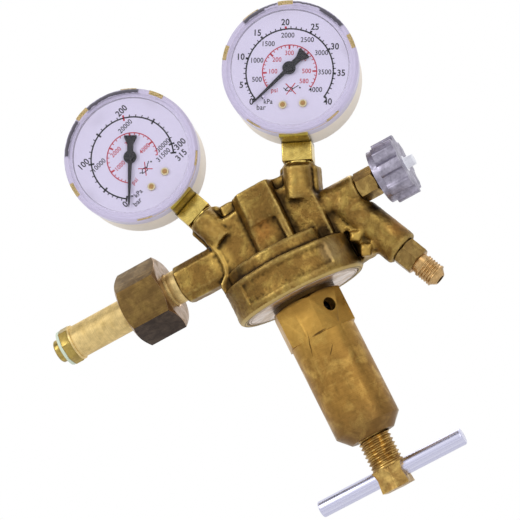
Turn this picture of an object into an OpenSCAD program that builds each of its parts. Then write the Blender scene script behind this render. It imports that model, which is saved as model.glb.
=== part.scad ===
// Two-gauge nitrogen regulator with an outlet needle valve.
// Millimetres. +X runs from the inlet nose into the regulator, +Z points from the tee bar to the gauges.
// The origin is on the inlet axis, at the root of the inlet nose.

/* [Layout] */
// Distance from the root of the inlet nose to the main axis
axis_x = 114.4; // [105:0.1:140]
// Lean of each gauge stem away from the main axis, degrees
gauge_angle = 22.5; // [20:0.5:28]
// Height on the main axis where the two gauge stems would cross
gauge_cross_z = -40.5; // [-44:0.5:-38]
// Distance from that crossing to the centre of the high pressure gauge
high_reach = 109.7; // [108:0.1:130]
// Distance from that crossing to the centre of the low pressure gauge
low_reach = 110.7; // [108:0.1:130]
// Turn of the high pressure gauge about its own stem, degrees
high_turn = 10; // [-12:0.5:12]
// Turn of the low pressure gauge about its own stem, degrees
low_turn = 8.5; // [-12:0.5:12]
// Tilt of the low pressure gauge to the back, degrees
low_tilt = 7.5; // [0:0.5:8]
// Turn of each dial against its socket, degrees
dial_turn = -4; // [-8:1:8]
// Height of the needle valve's axis
arm_z = -0.5; // [-2:0.5:1]

/* [Diaphragm housing] */
// Radius of the lower ring of the body
ring_r = 32; // [30:0.5:40]
// Height of the lower ring
ring_h = 17.5; // [15:0.5:22]
// Bottom face of the lower ring
ring_bottom_z = -32.5; // [-34:0.5:-31]
// Radius of the upper tier
tier_r = 27; // [25:0.5:29]
// Height of the upper tier
tier_h = 7; // [6:0.5:9]
// Radius of the threaded mouth that the bonnet screws into
mouth_r = 28.6; // [27.5:0.1:29]
// Radius of the low pressure chamber
chamber_r = 22.5; // [21:0.5:23]
// Depth of the recessed panels round the ring
panel_depth = 0.9; // [0.5:0.1:1.5]

/* [Body] */
// Width of the central column
column_w = 20.9; // [18:0.1:24]
// Depth of the central column, front to back
column_d = 28; // [22:0.5:32]
// Top of the central column
column_top_z = 22.6; // [19:0.1:30]
// Thickness of the flanks between column and bosses
flank_t = 17.4; // [16:0.1:18]
// Height of the inlet boss
inlet_boss_h = 18.2; // [17:0.1:20]
// Width of the inlet boss, front to back
inlet_boss_w = 16.6; // [16:0.1:19]
// Distance from the main axis to the end of the inlet boss
inlet_boss_end = 49.3; // [44:0.1:52]
// Radius of the round front of each gauge boss
gauge_boss_r = 6.7; // [6.5:0.1:7.5]
// Width of the square back of each gauge boss
gauge_boss_w = 18; // [16:0.5:19]
// Distance from the stem crossing to the top of each gauge boss
gauge_boss_top = 69; // [66:0.5:72]

/* [Outlet side] */
// Radius of the needle valve arm
arm_r = 7.8; // [7.5:0.1:9]
// Distance from the main axis to the end of the arm
arm_end = 46.5; // [44:0.5:50]
// Distance from the main axis to the branch, along the arm
branch_x = 36.4; // [35:0.2:38]
// Lean of the branch from straight down, degrees
branch_angle = 24; // [20:1:30]
// Radius of the branch
branch_r = 8.6; // [8:0.1:9.5]
// Length of the branch from the arm's axis
branch_len = 37.9; // [34:0.1:45]
// Width across the flats of the outlet fitting
outlet_af = 12.7; // [12.7:0.1:17]
// Major radius of the outlet's flare thread
outlet_thread_r = 5.55; // [5:0.05:6.5]
// Length of the outlet's flare thread
outlet_thread_len = 12.8; // [11:0.2:18]

/* [Bonnet and adjusting screw] */
// Width across the flats of the bonnet's hexagon
bonnet_af = 32; // [30:0.5:34]
// Radius of the bonnet's barrel
bonnet_r = 16; // [15.5:0.1:18]
// Bottom of the bonnet
bonnet_bottom_z = -104.5; // [-120:0.1:-100]
// Direction of the bonnet's first corner, degrees from the front towards the outlet
bonnet_turn = 18; // [0:1:60]
// Radius of the vent hole
vent_r = 3.25; // [2:0.25:3.5]
// Nominal radius of the adjusting screw's thread
screw_r = 8; // [7:0.5:8.5]
// Length of the adjusting screw
screw_len = 56; // [52:0.5:60]
// Height of the tee bar
tee_z = -123.5; // [-145:0.1:-122]
// Radius of the tee bar
tee_r = 4; // [3.5:0.1:4.5]
// Length of the tee bar
tee_len = 75; // [60:1:100]

/* [Inlet] */
// Radius of the inlet stem
stem_r = 8; // [7.5:0.1:8.5]
// Width across the flats of the inlet nut
nut_af = 32; // [30:0.5:36]
// Length of the inlet nut
nut_len = 22; // [18:0.2:26]
// Gap between the parked nut and the inlet boss
nut_gap = 5.7; // [1:0.1:10]
// Radius of the inlet nose
nose_r = 5.65; // [5:0.05:6]
// Length of the inlet nose beyond the washer
nose_len = 3.4; // [3:0.2:6]

/* [Needle valve] */
// Width across the flats of the gland nut
gland_af = 12.7; // [12.2:0.1:15]
// Length of the gland nut outside the arm
gland_len = 9.6; // [9:0.2:13]
// Outer radius of the handwheel's lobes
knob_r = 14.8; // [13:0.1:20]
// Thickness of the lobed part
knob_t = 10.7; // [8:0.1:14]
// Number of lobes
knob_lobes = 8; // [6:1:10]
// Radius of the handwheel's flange
knob_flange_r = 13; // [12:0.5:16]

/* [Gauges] */
// Outer radius of the gauge lens
lens_r = 31.75; // [31:0.25:34]
// Depth of the gauge from lens to back
gauge_depth = 29.5; // [27:0.5:34]
// Distance from the stem's axis to the back of the case
gauge_back = 10; // [9.5:0.5:11]
// Wall of the gauge case
case_wall = 1; // [0.8:0.1:1.5]
// Width across the square socket
socket_w = 14; // [12:0.5:14.5]

/* [Hidden] */
$fn = 72;
eps = 0.02;
// Radial clearance of screwed and seated pieces
fit = 0.05;
// Radial clearance of turning and sliding pieces
run = 0.08;
cast_brass = [0.50, 0.42, 0.20];
turned_brass = [0.78, 0.62, 0.32];
bonnet_brass = [0.68, 0.52, 0.22];
nut_brass = [0.45, 0.36, 0.22];
steel = [0.78, 0.79, 0.84];
champagne = [0.84, 0.81, 0.70];

ring_top_z = ring_bottom_z + ring_h;
tier_top_z = ring_top_z + tier_h;
// The diaphragm is clamped against this shoulder
seat_z = ring_top_z - 3;
chamber_roof_z = tier_top_z - 3;
valve_bore_r = 6;
valve_bore_top_z = 10;
inlet_bore_r = 6.5;
inlet_bore_len = 16;
passage_r = 2;
boss_bore_r = 6;
boss_bore_len = 12;
needle_seat_x = 33;
gland_bore_r = 5;
outlet_bore_r = 5;
outlet_bore_len = 9;

// Places the children on the main axis
module on_axis() {
  translate([axis_x, 0, 0]) children();
}

// Stands the children on a gauge stem, the crossing at the origin and the stem along +Z; side -1 is high pressure
module on_stem(side) {
  translate([axis_x, 0, gauge_cross_z]) rotate([0, side * gauge_angle, 0]) children();
}

// Stands the children on the top of a gauge boss, tilted as its gauge is
module on_boss(side) {
  on_stem(side) translate([0, 0, gauge_boss_top]) rotate([side > 0 ? -low_tilt : 0, 0, 0]) children();
}

// Height of a gauge's centre above its boss
function gauge_rise(side) = (side > 0 ? low_reach : high_reach) - gauge_boss_top;

// Places the children at the centre of a gauge that faces -Y
module on_gauge(side) {
  on_boss(side) translate([0, 0, gauge_rise(side)]) rotate([0, 0, side > 0 ? low_turn : high_turn]) children();
}

// Lays the children along the needle valve's axis, +Z becoming +X, from the main axis outwards
module on_arm(x) {
  translate([axis_x + x, 0, arm_z]) rotate([0, 90, 0]) children();
}

// Lays the children along the branch, +Z pointing out of it
module on_branch(d) {
  translate([axis_x + branch_x, 0, arm_z]) rotate([0, 180 - branch_angle, 0]) translate([0, 0, d]) children();
}

// Lays the children along the inlet axis, +Z becoming +X
module on_inlet(x) {
  translate([x, 0, 0]) rotate([0, 90, 0]) children();
}

// A hexagonal prism with both ends chamfered to the flats
module hex_bar(af, h, chamfer_low = true, chamfer_high = true) {
  r_corner = af / sqrt(3);
  chamfer = (r_corner - af / 2) * tan(30);
  r_end = af / 2 - 0.3;
  intersection() {
    cylinder(r = r_corner, h = h, $fn = 6);
    rotate_extrude() polygon([
      [0, 0], [chamfer_low ? r_end : r_corner + 1, 0],
      [r_corner + 1, chamfer_low ? chamfer + (1.3 * tan(30)) : 0],
      [r_corner + 1, h - (chamfer_high ? chamfer + (1.3 * tan(30)) : 0)],
      [chamfer_high ? r_end : r_corner + 1, h], [0, h]]);
  }
}

// A round wire swept along a helix whose two end turns lie close
module coil_spring(r, wire, h, turns, steps = 16, sides = 6) {
  n = turns * steps;
  lead = wire * 1.04;
  free = h - wire - 2 * lead;
  function rise(t) = t < 1 ? lead * t : t > turns - 1 ? free + lead + lead * (t - turns + 1)
    : lead + free * (t - 1) / (turns - 2);
  function ring(i) = let (t = i / steps, a = 360 * t)
    [for (k = [0:sides - 1]) let (b = 360 * k / sides)
      [(r + wire / 2 * cos(b)) * cos(a), (r + wire / 2 * cos(b)) * sin(a), wire / 2 + rise(t) + wire / 2 * sin(b)]];
  points = [for (i = [0:n]) each ring(i)];
  walls = [for (i = [0:n - 1], k = [0:sides - 1])
    [i * sides + k, (i + 1) * sides + k, (i + 1) * sides + (k + 1) % sides, i * sides + (k + 1) % sides]];
  start = [for (k = [0:sides - 1]) k];
  end = [for (k = [sides - 1:-1:0]) n * sides + k];
  polyhedron(points, concat(walls, [start, end]), convexity = 10);
}

// A washer-like ring
module ring(r_out, r_in, h) {
  difference() {
    cylinder(r = r_out, h = h);
    translate([0, 0, -1]) cylinder(r = r_in, h = h + 2);
  }
}

// Revolved outside of the cup that holds the diaphragm
module cup() {
  rotate_extrude() polygon([
    [0, tier_top_z], [tier_r - 1, tier_top_z], [tier_r, tier_top_z - 1], [tier_r, ring_top_z],
    [ring_r - 1, ring_top_z], [ring_r, ring_top_z - 1], [ring_r, ring_bottom_z + 1.6],
    [ring_r - 1.4, ring_bottom_z], [0, ring_bottom_z]]);
}

// Three long shallow panels sunk into the side of the ring
module ring_panels() {
  panel_low_z = ring_bottom_z + 4.4;
  panel_h = ring_h - 7;
  for (a = [0, 120, 240])
    rotate([0, 0, a - 125]) translate([0, 0, panel_low_z])
      rotate_extrude(angle = 85) translate([ring_r - panel_depth, 0]) square([3, panel_h]);
}

// Outline of the upright plate that joins the column to the bosses, drawn in X and Z
module flank_outline() {
  offset(r = 1.2, $fn = 16) offset(delta = -1.2) polygon([
    [-30.5, ring_top_z - 1.5], [-31, -12], [-30.5, -10], [-26.5, -7], [-25.3, -3], [-25.5, 3],
    [-28.5, 10.5], [-25, 16.5], [-8, 17.2], [8, 17.2], [25, 15], [28.4, 6], [28.4, ring_top_z + 1],
    [26, ring_top_z - 0.5]]);
}

// Plate with a low rim along its edges beside the bosses
module flanks() {
  rim_w = 1.6;
  rim_h = 0.8;
  rotate([90, 0, 0]) linear_extrude(flank_t, center = true) flank_outline();
  rotate([90, 0, 0]) linear_extrude(flank_t + 2 * rim_h, center = true) difference() {
    flank_outline();
    offset(delta = -rim_w) flank_outline();
    translate([-50, 7]) square([100, 50]);
  }
}

// Central column, drawn in to the front and back, with a wide sloping recess low on both faces
module column() {
  base_z = tier_top_z - 2;
  left = 2 - column_w / 2;
  right = 2 + column_w / 2;
  half = column_d / 2;
  difference() {
    translate([0, 0, base_z]) linear_extrude(column_top_z - base_z) offset(r = 1, $fn = 24) offset(delta = -1)
      polygon([[left, -8], [left + 4.3, -half], [right - 0.5, -half], [right, -8],
        [right, 8], [right - 0.5, half], [left + 4.3, half], [left, 8]]);
    for (s = [-1, 1]) scale([1, s, 1])
      translate([left - 1, -half, 6.3]) rotate([90, 0, 90]) linear_extrude(column_w - 2.9)
        polygon([[-2, 0], [3.6, -1.5], [2.2, -14.5], [-2, -14.5]]);
  }
}

// Small cast stubs between the column and the gauge bosses
module stubs() {
  for (stub = [[-12.5, column_top_z + 0.4], [14.7, column_top_z - 0.6]]) translate([stub[0], 0, 15])
    linear_extrude(stub[1] - 15) offset(r = 1, $fn = 16) square([4.4, 10], center = true);
}

// Upper boss of one gauge: a round nose in front of a squarer block, with a low collar on top
module gauge_boss(side) {
  block_d = 11;
  on_stem(side) {
    translate([0, -4.5, gauge_boss_top - 16.7]) cylinder(r = gauge_boss_r, h = 15.7);
    translate([0, block_d / 2 - 3, gauge_boss_top - 24]) linear_extrude(22.5) offset(r = 1, $fn = 16)
      square([gauge_boss_w - 2, block_d - 2], center = true);
  }
  on_boss(side) translate([0, 0, -4]) cylinder(r = 7.4, h = 4);
}

// Inlet boss, a bar with bevelled corners
module inlet_boss() {
  bevel = 3.3;
  h = inlet_boss_h / 2;
  w = inlet_boss_w / 2;
  drop = 0.8;
  bar = [for (s = [[1, 1], [1, -1], [-1, -1], [-1, 1]])
    for (p = s[0] * s[1] > 0 ? [[h - bevel, w], [h, w - bevel]] : [[h, w - bevel], [h - bevel, w]])
      [s[0] * p[0] + drop, s[1] * p[1]]];
  intersection() {
    on_inlet(axis_x - inlet_boss_end) linear_extrude(inlet_boss_end - 12) polygon(bar);
    on_inlet(axis_x - inlet_boss_end) rotate_extrude()
      polygon([[0, 0], [h + 0.5, 0], [h + 2.2, 1.7], [h + 2.2, inlet_boss_end], [0, inlet_boss_end]]);
  }
}

// Arm, branch and the web between the branch and the ring
module outlet_arm() {
  on_arm(14) cylinder(r = arm_r, h = arm_end - 15);
  on_arm(arm_end - 1) cylinder(r1 = arm_r, r2 = arm_r - 0.8, h = 1);
  on_branch(1.5) cylinder(r = branch_r, h = branch_len - 2.3);
  on_branch(branch_len - 0.8) cylinder(r1 = branch_r, r2 = branch_r - 0.8, h = 0.8);
  web_low_z = ring_bottom_z + 3.5;
  web = [[24, arm_z], [24, ring_top_z - 0.5], [33.6, ring_top_z - 0.5], [34.1, ring_top_z - 6], [35.1, ring_top_z - 9.6],
    [35, web_low_z + 1], [36, web_low_z], [branch_x + 9, web_low_z], [branch_x + 2, arm_z]];
  on_axis() rotate([90, 0, 0]) linear_extrude(12, center = true) polygon(web);
  // Two rough lumps left in the casting
  for (lump = [[branch_x - 0.3, ring_top_z - 5.4, 4.6], [branch_x + 1.4, ring_top_z - 13.2, 6]])
    on_axis() translate([lump[0], -6.6, lump[1]]) rotate([0, 27, 0]) linear_extrude(lump[2], center = true)
      offset(r = 1, $fn = 16) square([3.4, 2.4], center = true);
}

// Drilled passages, threads and chambers of the body
module body_bores() {
  on_axis() {
    translate([0, 0, ring_bottom_z - 1]) cylinder(r = mouth_r, h = seat_z - ring_bottom_z + 1);
    translate([0, 0, seat_z - 1]) cylinder(r = chamber_r, h = chamber_roof_z - seat_z + 1);
    translate([0, 0, chamber_roof_z - 1]) cylinder(r = valve_bore_r, h = valve_bore_top_z - chamber_roof_z + 1);
    translate([chamber_r - 3, 0, chamber_roof_z - 1]) cylinder(r = passage_r, h = arm_z - chamber_roof_z + 1);
  }
  on_inlet(axis_x - inlet_boss_end - 1) cylinder(r = inlet_bore_r, h = inlet_bore_len + 1);
  on_inlet(axis_x - inlet_boss_end) cylinder(r = passage_r, h = inlet_boss_end);
  on_arm(chamber_r - 3) cylinder(r = passage_r, h = needle_seat_x - chamber_r + 4);
  on_arm(needle_seat_x) cylinder(r = gland_bore_r, h = arm_end - needle_seat_x + 1);
  on_arm(arm_end) cylinder(r = gland_af / sqrt(3) + 0.4, h = 6);
  on_branch(0) cylinder(r = 3, h = branch_len);
  on_branch(branch_len - outlet_bore_len) cylinder(r = outlet_bore_r, h = outlet_bore_len + 1);
  for (side = [-1, 1]) {
    low = (side < 0 ? -gauge_cross_z : chamber_roof_z - 1 - gauge_cross_z) / cos(gauge_angle);
    on_stem(side) translate([0, 0, low]) cylinder(r = 1.5, h = gauge_boss_top - 4 - low);
    on_boss(side) translate([0, 0, -boss_bore_len]) cylinder(r = boss_bore_r, h = boss_bore_len + 1);
  }
}

// Forged body
module regulator_body() {
  color(cast_brass) difference() {
    union() {
      on_axis() difference() {
        cup();
        ring_panels();
        tier_notch();
      }
      on_axis() flanks();
      on_axis() column();
      on_axis() stubs();
      gauge_boss(-1);
      gauge_boss(1);
      inlet_boss();
      outlet_arm();
    }
    body_bores();
  }
}

// Gap in the upper tier on the outlet side, in front
module tier_notch() {
  rotate([0, 0, -34]) translate([0, 0, ring_top_z]) rotate_extrude(angle = 20)
    translate([chamber_r + 1.5, 0]) square([6, tier_h + 1]);
}

// Stem that carries the nut, screwed into the inlet boss
stem_end_x = 6.2;
nipple_bore_r = 4.5;
nipple_bore_len = 10;
module inlet_stem() {
  shoulder_x = axis_x - inlet_boss_end - eps;
  color(turned_brass) difference() {
    union() {
      on_inlet(stem_end_x) cylinder(r = stem_r + 0.7, h = 1.2);
      on_inlet(stem_end_x + 0.5) cylinder(r = stem_r, h = shoulder_x - stem_end_x - 0.5);
      on_inlet(shoulder_x - eps) cylinder(r = inlet_bore_r - fit, h = 12);
    }
    on_inlet(stem_end_x - 1) cylinder(r = nipple_bore_r, h = nipple_bore_len + 1);
    on_inlet(stem_end_x) cylinder(r = 3, h = axis_x);
    on_inlet(shoulder_x - 5) difference() {
      cylinder(r = stem_r + 1, h = 0.8);
      translate([0, 0, -1]) cylinder(r = stem_r - 0.4, h = 3);
    }
  }
}

washer_x = 0.3;
washer_t = 1.5;
nipple_head_r = 9.1;
nose_chamfer = 0.6;
// The nose is necked where the washer sits
module inlet_nipple() {
  head_x = washer_x + washer_t + eps;
  color(turned_brass) difference() {
    union() {
      on_inlet(-nose_len) cylinder(r1 = nose_r - nose_chamfer, r2 = nose_r, h = nose_chamfer);
      on_inlet(nose_chamfer - nose_len) cylinder(r = nose_r, h = nose_len - nose_chamfer);
      on_inlet(-0.5) cylinder(r = nose_r - 0.2, h = head_x + 1);
      on_inlet(head_x) cylinder(r = nipple_head_r, h = stem_end_x - eps - head_x, $fn = 8);
      on_inlet(stem_end_x - 1) cylinder(r = nipple_bore_r - fit, h = nipple_bore_len);
    }
    on_inlet(-nose_len - 1) cylinder(r = 2.5, h = 30);
  }
}

module inlet_washer() {
  color([0.72, 0.80, 0.72]) on_inlet(washer_x) ring(8.7, nose_r + fit, washer_t);
}

module inlet_filter() {
  color([0.55, 0.42, 0.25]) on_inlet(axis_x - inlet_boss_end + 12.3) cylinder(r = inlet_bore_r - 0.2, h = inlet_bore_len - 12.6);
}

nut_wall = 4.5;
nut_thread_r = 12.16;
nut_right_x = axis_x - inlet_boss_end - nut_gap;
slip_washer_t = 1.2;
module inlet_nut() {
  color(nut_brass) on_inlet(nut_right_x - nut_len) difference() {
    rotate([0, 0, 3]) hex_bar(nut_af, nut_len);
    translate([0, 0, -1]) cylinder(r = nut_thread_r, h = nut_len - nut_wall + 1);
    translate([0, 0, -eps]) cylinder(r1 = nut_thread_r + 1, r2 = nut_thread_r, h = 1);
    cylinder(r = stem_r + run, h = nut_len + 1);
    translate([0, 0, nut_len - 0.8]) cylinder(r1 = stem_r + run, r2 = stem_r + 1.4, h = 1.3);
  }
}

module nut_slip_washer() {
  color(turned_brass) on_inlet(nut_right_x - nut_wall - slip_washer_t - 0.1)
    ring(nut_thread_r - 0.6, stem_r + run, slip_washer_t);
}

// Bonnet: flange in the ring, hexagon, barrel
bonnet_top_z = seat_z - 4.2;
hex_top_z = ring_bottom_z - 2;
hex_bottom_z = ring_bottom_z - 20.5;
spring_bore_r = 11.5;
thread_top_z = bonnet_bottom_z + 14.3;
module bonnet() {
  flange_h = bonnet_top_z - ring_bottom_z;
  color(bonnet_brass) on_axis() difference() {
    union() {
      translate([0, 0, ring_bottom_z]) cylinder(r1 = mouth_r - fit - 0.9, r2 = mouth_r - fit, h = 0.9);
      translate([0, 0, ring_bottom_z + 0.9]) cylinder(r = mouth_r - fit, h = flange_h - 0.9);
      translate([0, 0, hex_top_z]) cylinder(r = bonnet_r - 0.5, h = ring_bottom_z - hex_top_z + 1);
      translate([0, 0, hex_bottom_z]) rotate([0, 0, bonnet_turn - 90])
        hex_bar(bonnet_af, hex_top_z - hex_bottom_z, false, true);
      translate([0, 0, bonnet_bottom_z + 5.5]) cylinder(r = bonnet_r, h = hex_bottom_z - bonnet_bottom_z - 5);
      translate([0, 0, bonnet_bottom_z]) cylinder(r1 = bonnet_r - 5.2, r2 = bonnet_r, h = 5.5);
    }
    translate([0, 0, bonnet_top_z - 5]) cylinder(r = chamber_r - 2.5, h = 6);
    translate([0, 0, bonnet_top_z - 9]) cylinder(r1 = spring_bore_r, r2 = chamber_r - 2.5, h = 4 + eps);
    translate([0, 0, thread_top_z]) cylinder(r = spring_bore_r, h = bonnet_top_z - thread_top_z);
    translate([0, 0, bonnet_bottom_z - 1]) cylinder(r = screw_r + run, h = 30);
    translate([0, 0, ring_bottom_z - 10]) rotate([90, 0, bonnet_turn + 30]) cylinder(r = vent_r, h = 30);
  }
}

diaphragm_t = 1.6;
clamp_t = 1.5;
// Upward stroke of diaphragm, plate and poppet between shut and fully open
stroke = 0.7;
diaphragm_z = seat_z - stroke - 0.3 - diaphragm_t;
// Brass slip ring that the bonnet presses on the diaphragm
module diaphragm_ring() {
  color(turned_brass) on_axis() translate([0, 0, bonnet_top_z + 0.02])
    ring(mouth_r - 0.3, chamber_r - 2.5, clamp_t);
}

stud_r = 3;
module diaphragm() {
  color([0.12, 0.12, 0.13]) on_axis() translate([0, 0, diaphragm_z])
    ring(mouth_r - 0.3, stud_r + fit, diaphragm_t);
}

plate_t = 3;
plate_bottom_z = diaphragm_z - eps - plate_t;
module diaphragm_plate() {
  color(turned_brass) on_axis() {
    translate([0, 0, plate_bottom_z]) cylinder(r = 13, h = plate_t);
    translate([0, 0, plate_bottom_z + 1]) cylinder(r = stud_r, h = plate_t + 2.4);
  }
}

spring_wire = 3;
spring_r = 8.8;
tip_z = tee_z - 9 + screw_len;
button_t = 3.5;
module main_spring() {
  color([0.30, 0.31, 0.33]) on_axis() translate([0, 0, tip_z + button_t + 0.1])
    coil_spring(spring_r, spring_wire, plate_bottom_z - tip_z - button_t - 0.2, 8);
}

module spring_button() {
  color(steel) on_axis() translate([0, 0, tip_z + 0.1]) difference() {
    union() {
      cylinder(r = spring_bore_r - 0.3, h = button_t);
      cylinder(r = spring_r - spring_wire / 2 - 0.4, h = button_t + 2.5);
    }
    translate([0, 0, -1]) cylinder(r = 3.1, h = 3);
  }
}

// Adjusting screw with its waisted, flattened head
module adjusting_screw() {
  head_top_z = tee_z + 3.4;
  bottom_z = tee_z - 7.4;
  color(bonnet_brass) on_axis() difference() {
    union() {
      translate([0, 0, tip_z]) cylinder(r = 3, h = 2);
      translate([0, 0, tip_z - 1]) cylinder(r1 = screw_r, r2 = screw_r - 1, h = 1);
      translate([0, 0, head_top_z]) cylinder(r = screw_r, h = tip_z - head_top_z - 1);
      rotate_extrude() polygon([[0, bottom_z], [6.9, bottom_z], [6.5, tee_z - 4], [6.4, tee_z],
        [screw_r, head_top_z + eps], [0, head_top_z + eps]]);
    }
    translate([-tee_len, 0, tee_z]) rotate([0, 90, 0]) cylinder(r = tee_r + fit, h = 2 * tee_len);
    for (a = [35, 215]) rotate([0, 0, a]) translate([-10, -16.0, bottom_z - 1]) cube([20, 10.4, tee_z - bottom_z + 4]);
  }
}

module tee_bar() {
  color(steel) on_axis() translate([-tee_len / 2, 0, tee_z]) rotate([0, 90, 0]) {
    cylinder(r1 = tee_r - 0.5, r2 = tee_r, h = 0.5);
    translate([0, 0, 0.5]) cylinder(r = tee_r, h = tee_len - 1);
    translate([0, 0, tee_len - 0.5]) cylinder(r1 = tee_r, r2 = tee_r - 0.5, h = 0.5);
  }
}

// Nozzle screwed into the chamber roof
nozzle_top_z = -5;
orifice_r = 2.2;
module valve_nozzle() {
  color(turned_brass) on_axis() difference() {
    union() {
      translate([0, 0, chamber_roof_z - 3.4]) hex_bar(13, 3.4, true, false);
      translate([0, 0, chamber_roof_z - eps]) cylinder(r = valve_bore_r - fit, h = nozzle_top_z - chamber_roof_z);
    }
    translate([0, 0, chamber_roof_z - 5]) cylinder(r = orifice_r, h = 20);
  }
}

pin_r = 1.3;
stud_top_z = plate_bottom_z + plate_t + 3.4;
module valve_poppet() {
  color(turned_brass) on_axis() {
    translate([0, 0, stud_top_z + 0.05]) cylinder(r = pin_r, h = nozzle_top_z + 2.5 - stud_top_z);
    translate([0, 0, nozzle_top_z + 1.65]) cylinder(r = 4, h = 1.6);
    translate([0, 0, nozzle_top_z + 3]) cylinder(r = 1.6, h = 3);
  }
}

// Soft seat washer under the poppet's head
module poppet_seat() {
  color([0.93, 0.93, 0.90]) on_axis() translate([0, 0, nozzle_top_z + 0.1]) ring(4, pin_r + fit, 1.5);
}

module poppet_spring() {
  low_z = nozzle_top_z + 3.35;
  color(steel) on_axis() translate([0, 0, low_z]) coil_spring(3, 0.8, valve_bore_top_z - low_z - 0.1, 6, 12);
}

// Gland nut screwed into the end of the arm
needle_r = 3;
packing_t = 2.4;
module gland_nut() {
  shank = 6;
  color(bonnet_brass) difference() {
    union() {
      on_arm(arm_end + 0.02) rotate([0, 0, 12]) hex_bar(gland_af, gland_len);
      on_arm(arm_end - shank) cylinder(r = gland_bore_r - fit, h = shank + 0.5);
    }
    on_arm(arm_end - shank - 1) cylinder(r = needle_r + run, h = shank + gland_len + 2);
  }
}

module gland_packing() {
  color([0.92, 0.92, 0.90]) on_arm(arm_end - 6 - packing_t - 0.1) ring(gland_bore_r - fit, needle_r + run, packing_t);
}

tip_len = 2.6;
module needle_tip() {
  color([0.93, 0.93, 0.90]) on_arm(needle_seat_x + 0.1) {
    cylinder(r1 = 2.6, r2 = needle_r - 0.1, h = 1);
    translate([0, 0, 1]) cylinder(r = needle_r - 0.1, h = tip_len - 1);
  }
}

knob_x = arm_end + gland_len + 1.4;
flange_t = 3;
spindle_r = 2.6;
module needle_stem() {
  color(turned_brass) {
    on_arm(needle_seat_x + tip_len + 0.2) cylinder(r = needle_r, h = knob_x - needle_seat_x - tip_len - 0.2);
    on_arm(knob_x - eps) ring(spindle_r, 1.3, flange_t + knob_t - 5);
  }
}

// Lobed handwheel, cast with a flange and a square-cut recess for its screw
module knob() {
  color([0.62, 0.63, 0.68]) on_arm(knob_x) difference() {
    union() {
      cylinder(r = knob_flange_r, h = flange_t);
      translate([0, 0, flange_t - eps]) linear_extrude(knob_t) offset(r = 0.8, $fn = 20) offset(delta = -0.8)
        difference() {
          circle(r = knob_r);
          for (i = [0:knob_lobes - 1]) rotate(360 * (i + 0.5) / knob_lobes)
            translate([knob_r + 1.4, 0]) circle(r = 3.7, $fn = 32);
        }
    }
    translate([0, 0, -1]) cylinder(r = spindle_r + fit, h = flange_t + knob_t);
    translate([0, 0, flange_t + knob_t - 4]) cylinder(r = 4.1, h = 5);
  }
}

module knob_screw() {
  color(steel) on_arm(knob_x + flange_t + knob_t - 4.9) difference() {
    union() {
      translate([0, 0, 0.94]) cylinder(r = 3.5, h = 1.6);
      translate([0, 0, -4]) cylinder(r = 1.25, h = 5.5);
    }
    translate([0, 0, 1.8]) cube([7, 0.9, 2], center = true);
  }
}

module knob_cap() {
  color([0.90, 0.91, 0.97]) on_arm(knob_x + flange_t + knob_t - 2.2) {
    cylinder(r = 4.1 - fit, h = 2.2);
    translate([0, 0, 2]) cylinder(r = 2.7, h = 4.2);
    translate([0, 0, 6.2]) cylinder(r1 = 2.7, r2 = 2.3, h = 0.5);
  }
}

// Flare fitting screwed into the branch
module outlet_fitting() {
  hex_len = 9.4;
  neck_len = 2.4;
  color(turned_brass) on_branch(branch_len) difference() {
    union() {
      translate([0, 0, -outlet_bore_len + 1]) cylinder(r = outlet_bore_r - fit, h = outlet_bore_len);
      translate([0, 0, 0.02]) rotate([0, 0, 20]) hex_bar(outlet_af, hex_len);
      translate([0, 0, hex_len]) cylinder(r = outlet_thread_r - 0.7, h = neck_len + 0.5);
      translate([0, 0, hex_len + neck_len]) cylinder(r = outlet_thread_r, h = outlet_thread_len - neck_len - 2.6);
      translate([0, 0, hex_len + outlet_thread_len - 2.6]) cylinder(r1 = outlet_thread_r - 0.5, r2 = 2.9, h = 2.6);
    }
    translate([0, 0, -outlet_bore_len]) cylinder(r = 2.3, h = 60);
  }
}

front_y = gauge_back - gauge_depth;
case_r = lens_r - 0.75;
case_front_y = front_y + 5;
dial_y = front_y + 6.6;
dial_r = case_r - case_wall - 0.35;
block_top_z = -13;

// Lays the children along a gauge's own axis, +Z becoming -Y towards the front
module face_forward(y) {
  translate([0, y, 0]) rotate([90, 0, 0]) children();
}

// Brass socket: thread, square, neck and the block that carries tube and movement
module gauge_socket(side) {
  square_low_z = -gauge_rise(side);
  color(turned_brass) on_gauge(side) difference() {
    union() {
      translate([0, 0, square_low_z - boss_bore_len + 1]) cylinder(r = boss_bore_r - fit, h = boss_bore_len);
      translate([0, 0, square_low_z + 0.6]) linear_extrude(-case_r - 0.5 - square_low_z - 0.6)
        offset(r = 0.6, $fn = 16) square(socket_w - 1.2, center = true);
      translate([0, 0, -case_r - 1.5]) cylinder(r = 5.4, h = 6);
      translate([-7, -3.95, -case_r + 2.4]) cube([14, 9.95, case_r + block_top_z - 2.4]);
    }
    translate([0, 0, square_low_z - boss_bore_len]) cylinder(r = 1.2, h = boss_bore_len - square_low_z - tube_r);
    rotate([90, 0, 0]) rotate([0, 0, tube_start - 3]) rotate_extrude(angle = 40)
      translate([tube_r - 1 - fit, -4 - fit]) square([2 + 2 * fit, 7 + 2 * fit]);
  }
}

module gauge_case(side) {
  color(champagne) on_gauge(side) difference() {
    face_forward(gauge_back) rotate_extrude() polygon([
      [0, 0], [case_r - 2.5, 0], [case_r - 0.7, 0.7], [case_r, 2.5], [case_r, gauge_back - case_front_y],
      [case_r - case_wall, gauge_back - case_front_y], [case_r - case_wall, 3], [case_r - 3, case_wall], [0, case_wall]]);
    translate([0, 0, -case_r - 3]) cylinder(r = 5.4 + fit, h = 8);
    translate([0, gauge_back + 1, 17]) rotate([90, 0, 0]) cylinder(r = 3.5, h = 4);
  }
}

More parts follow.
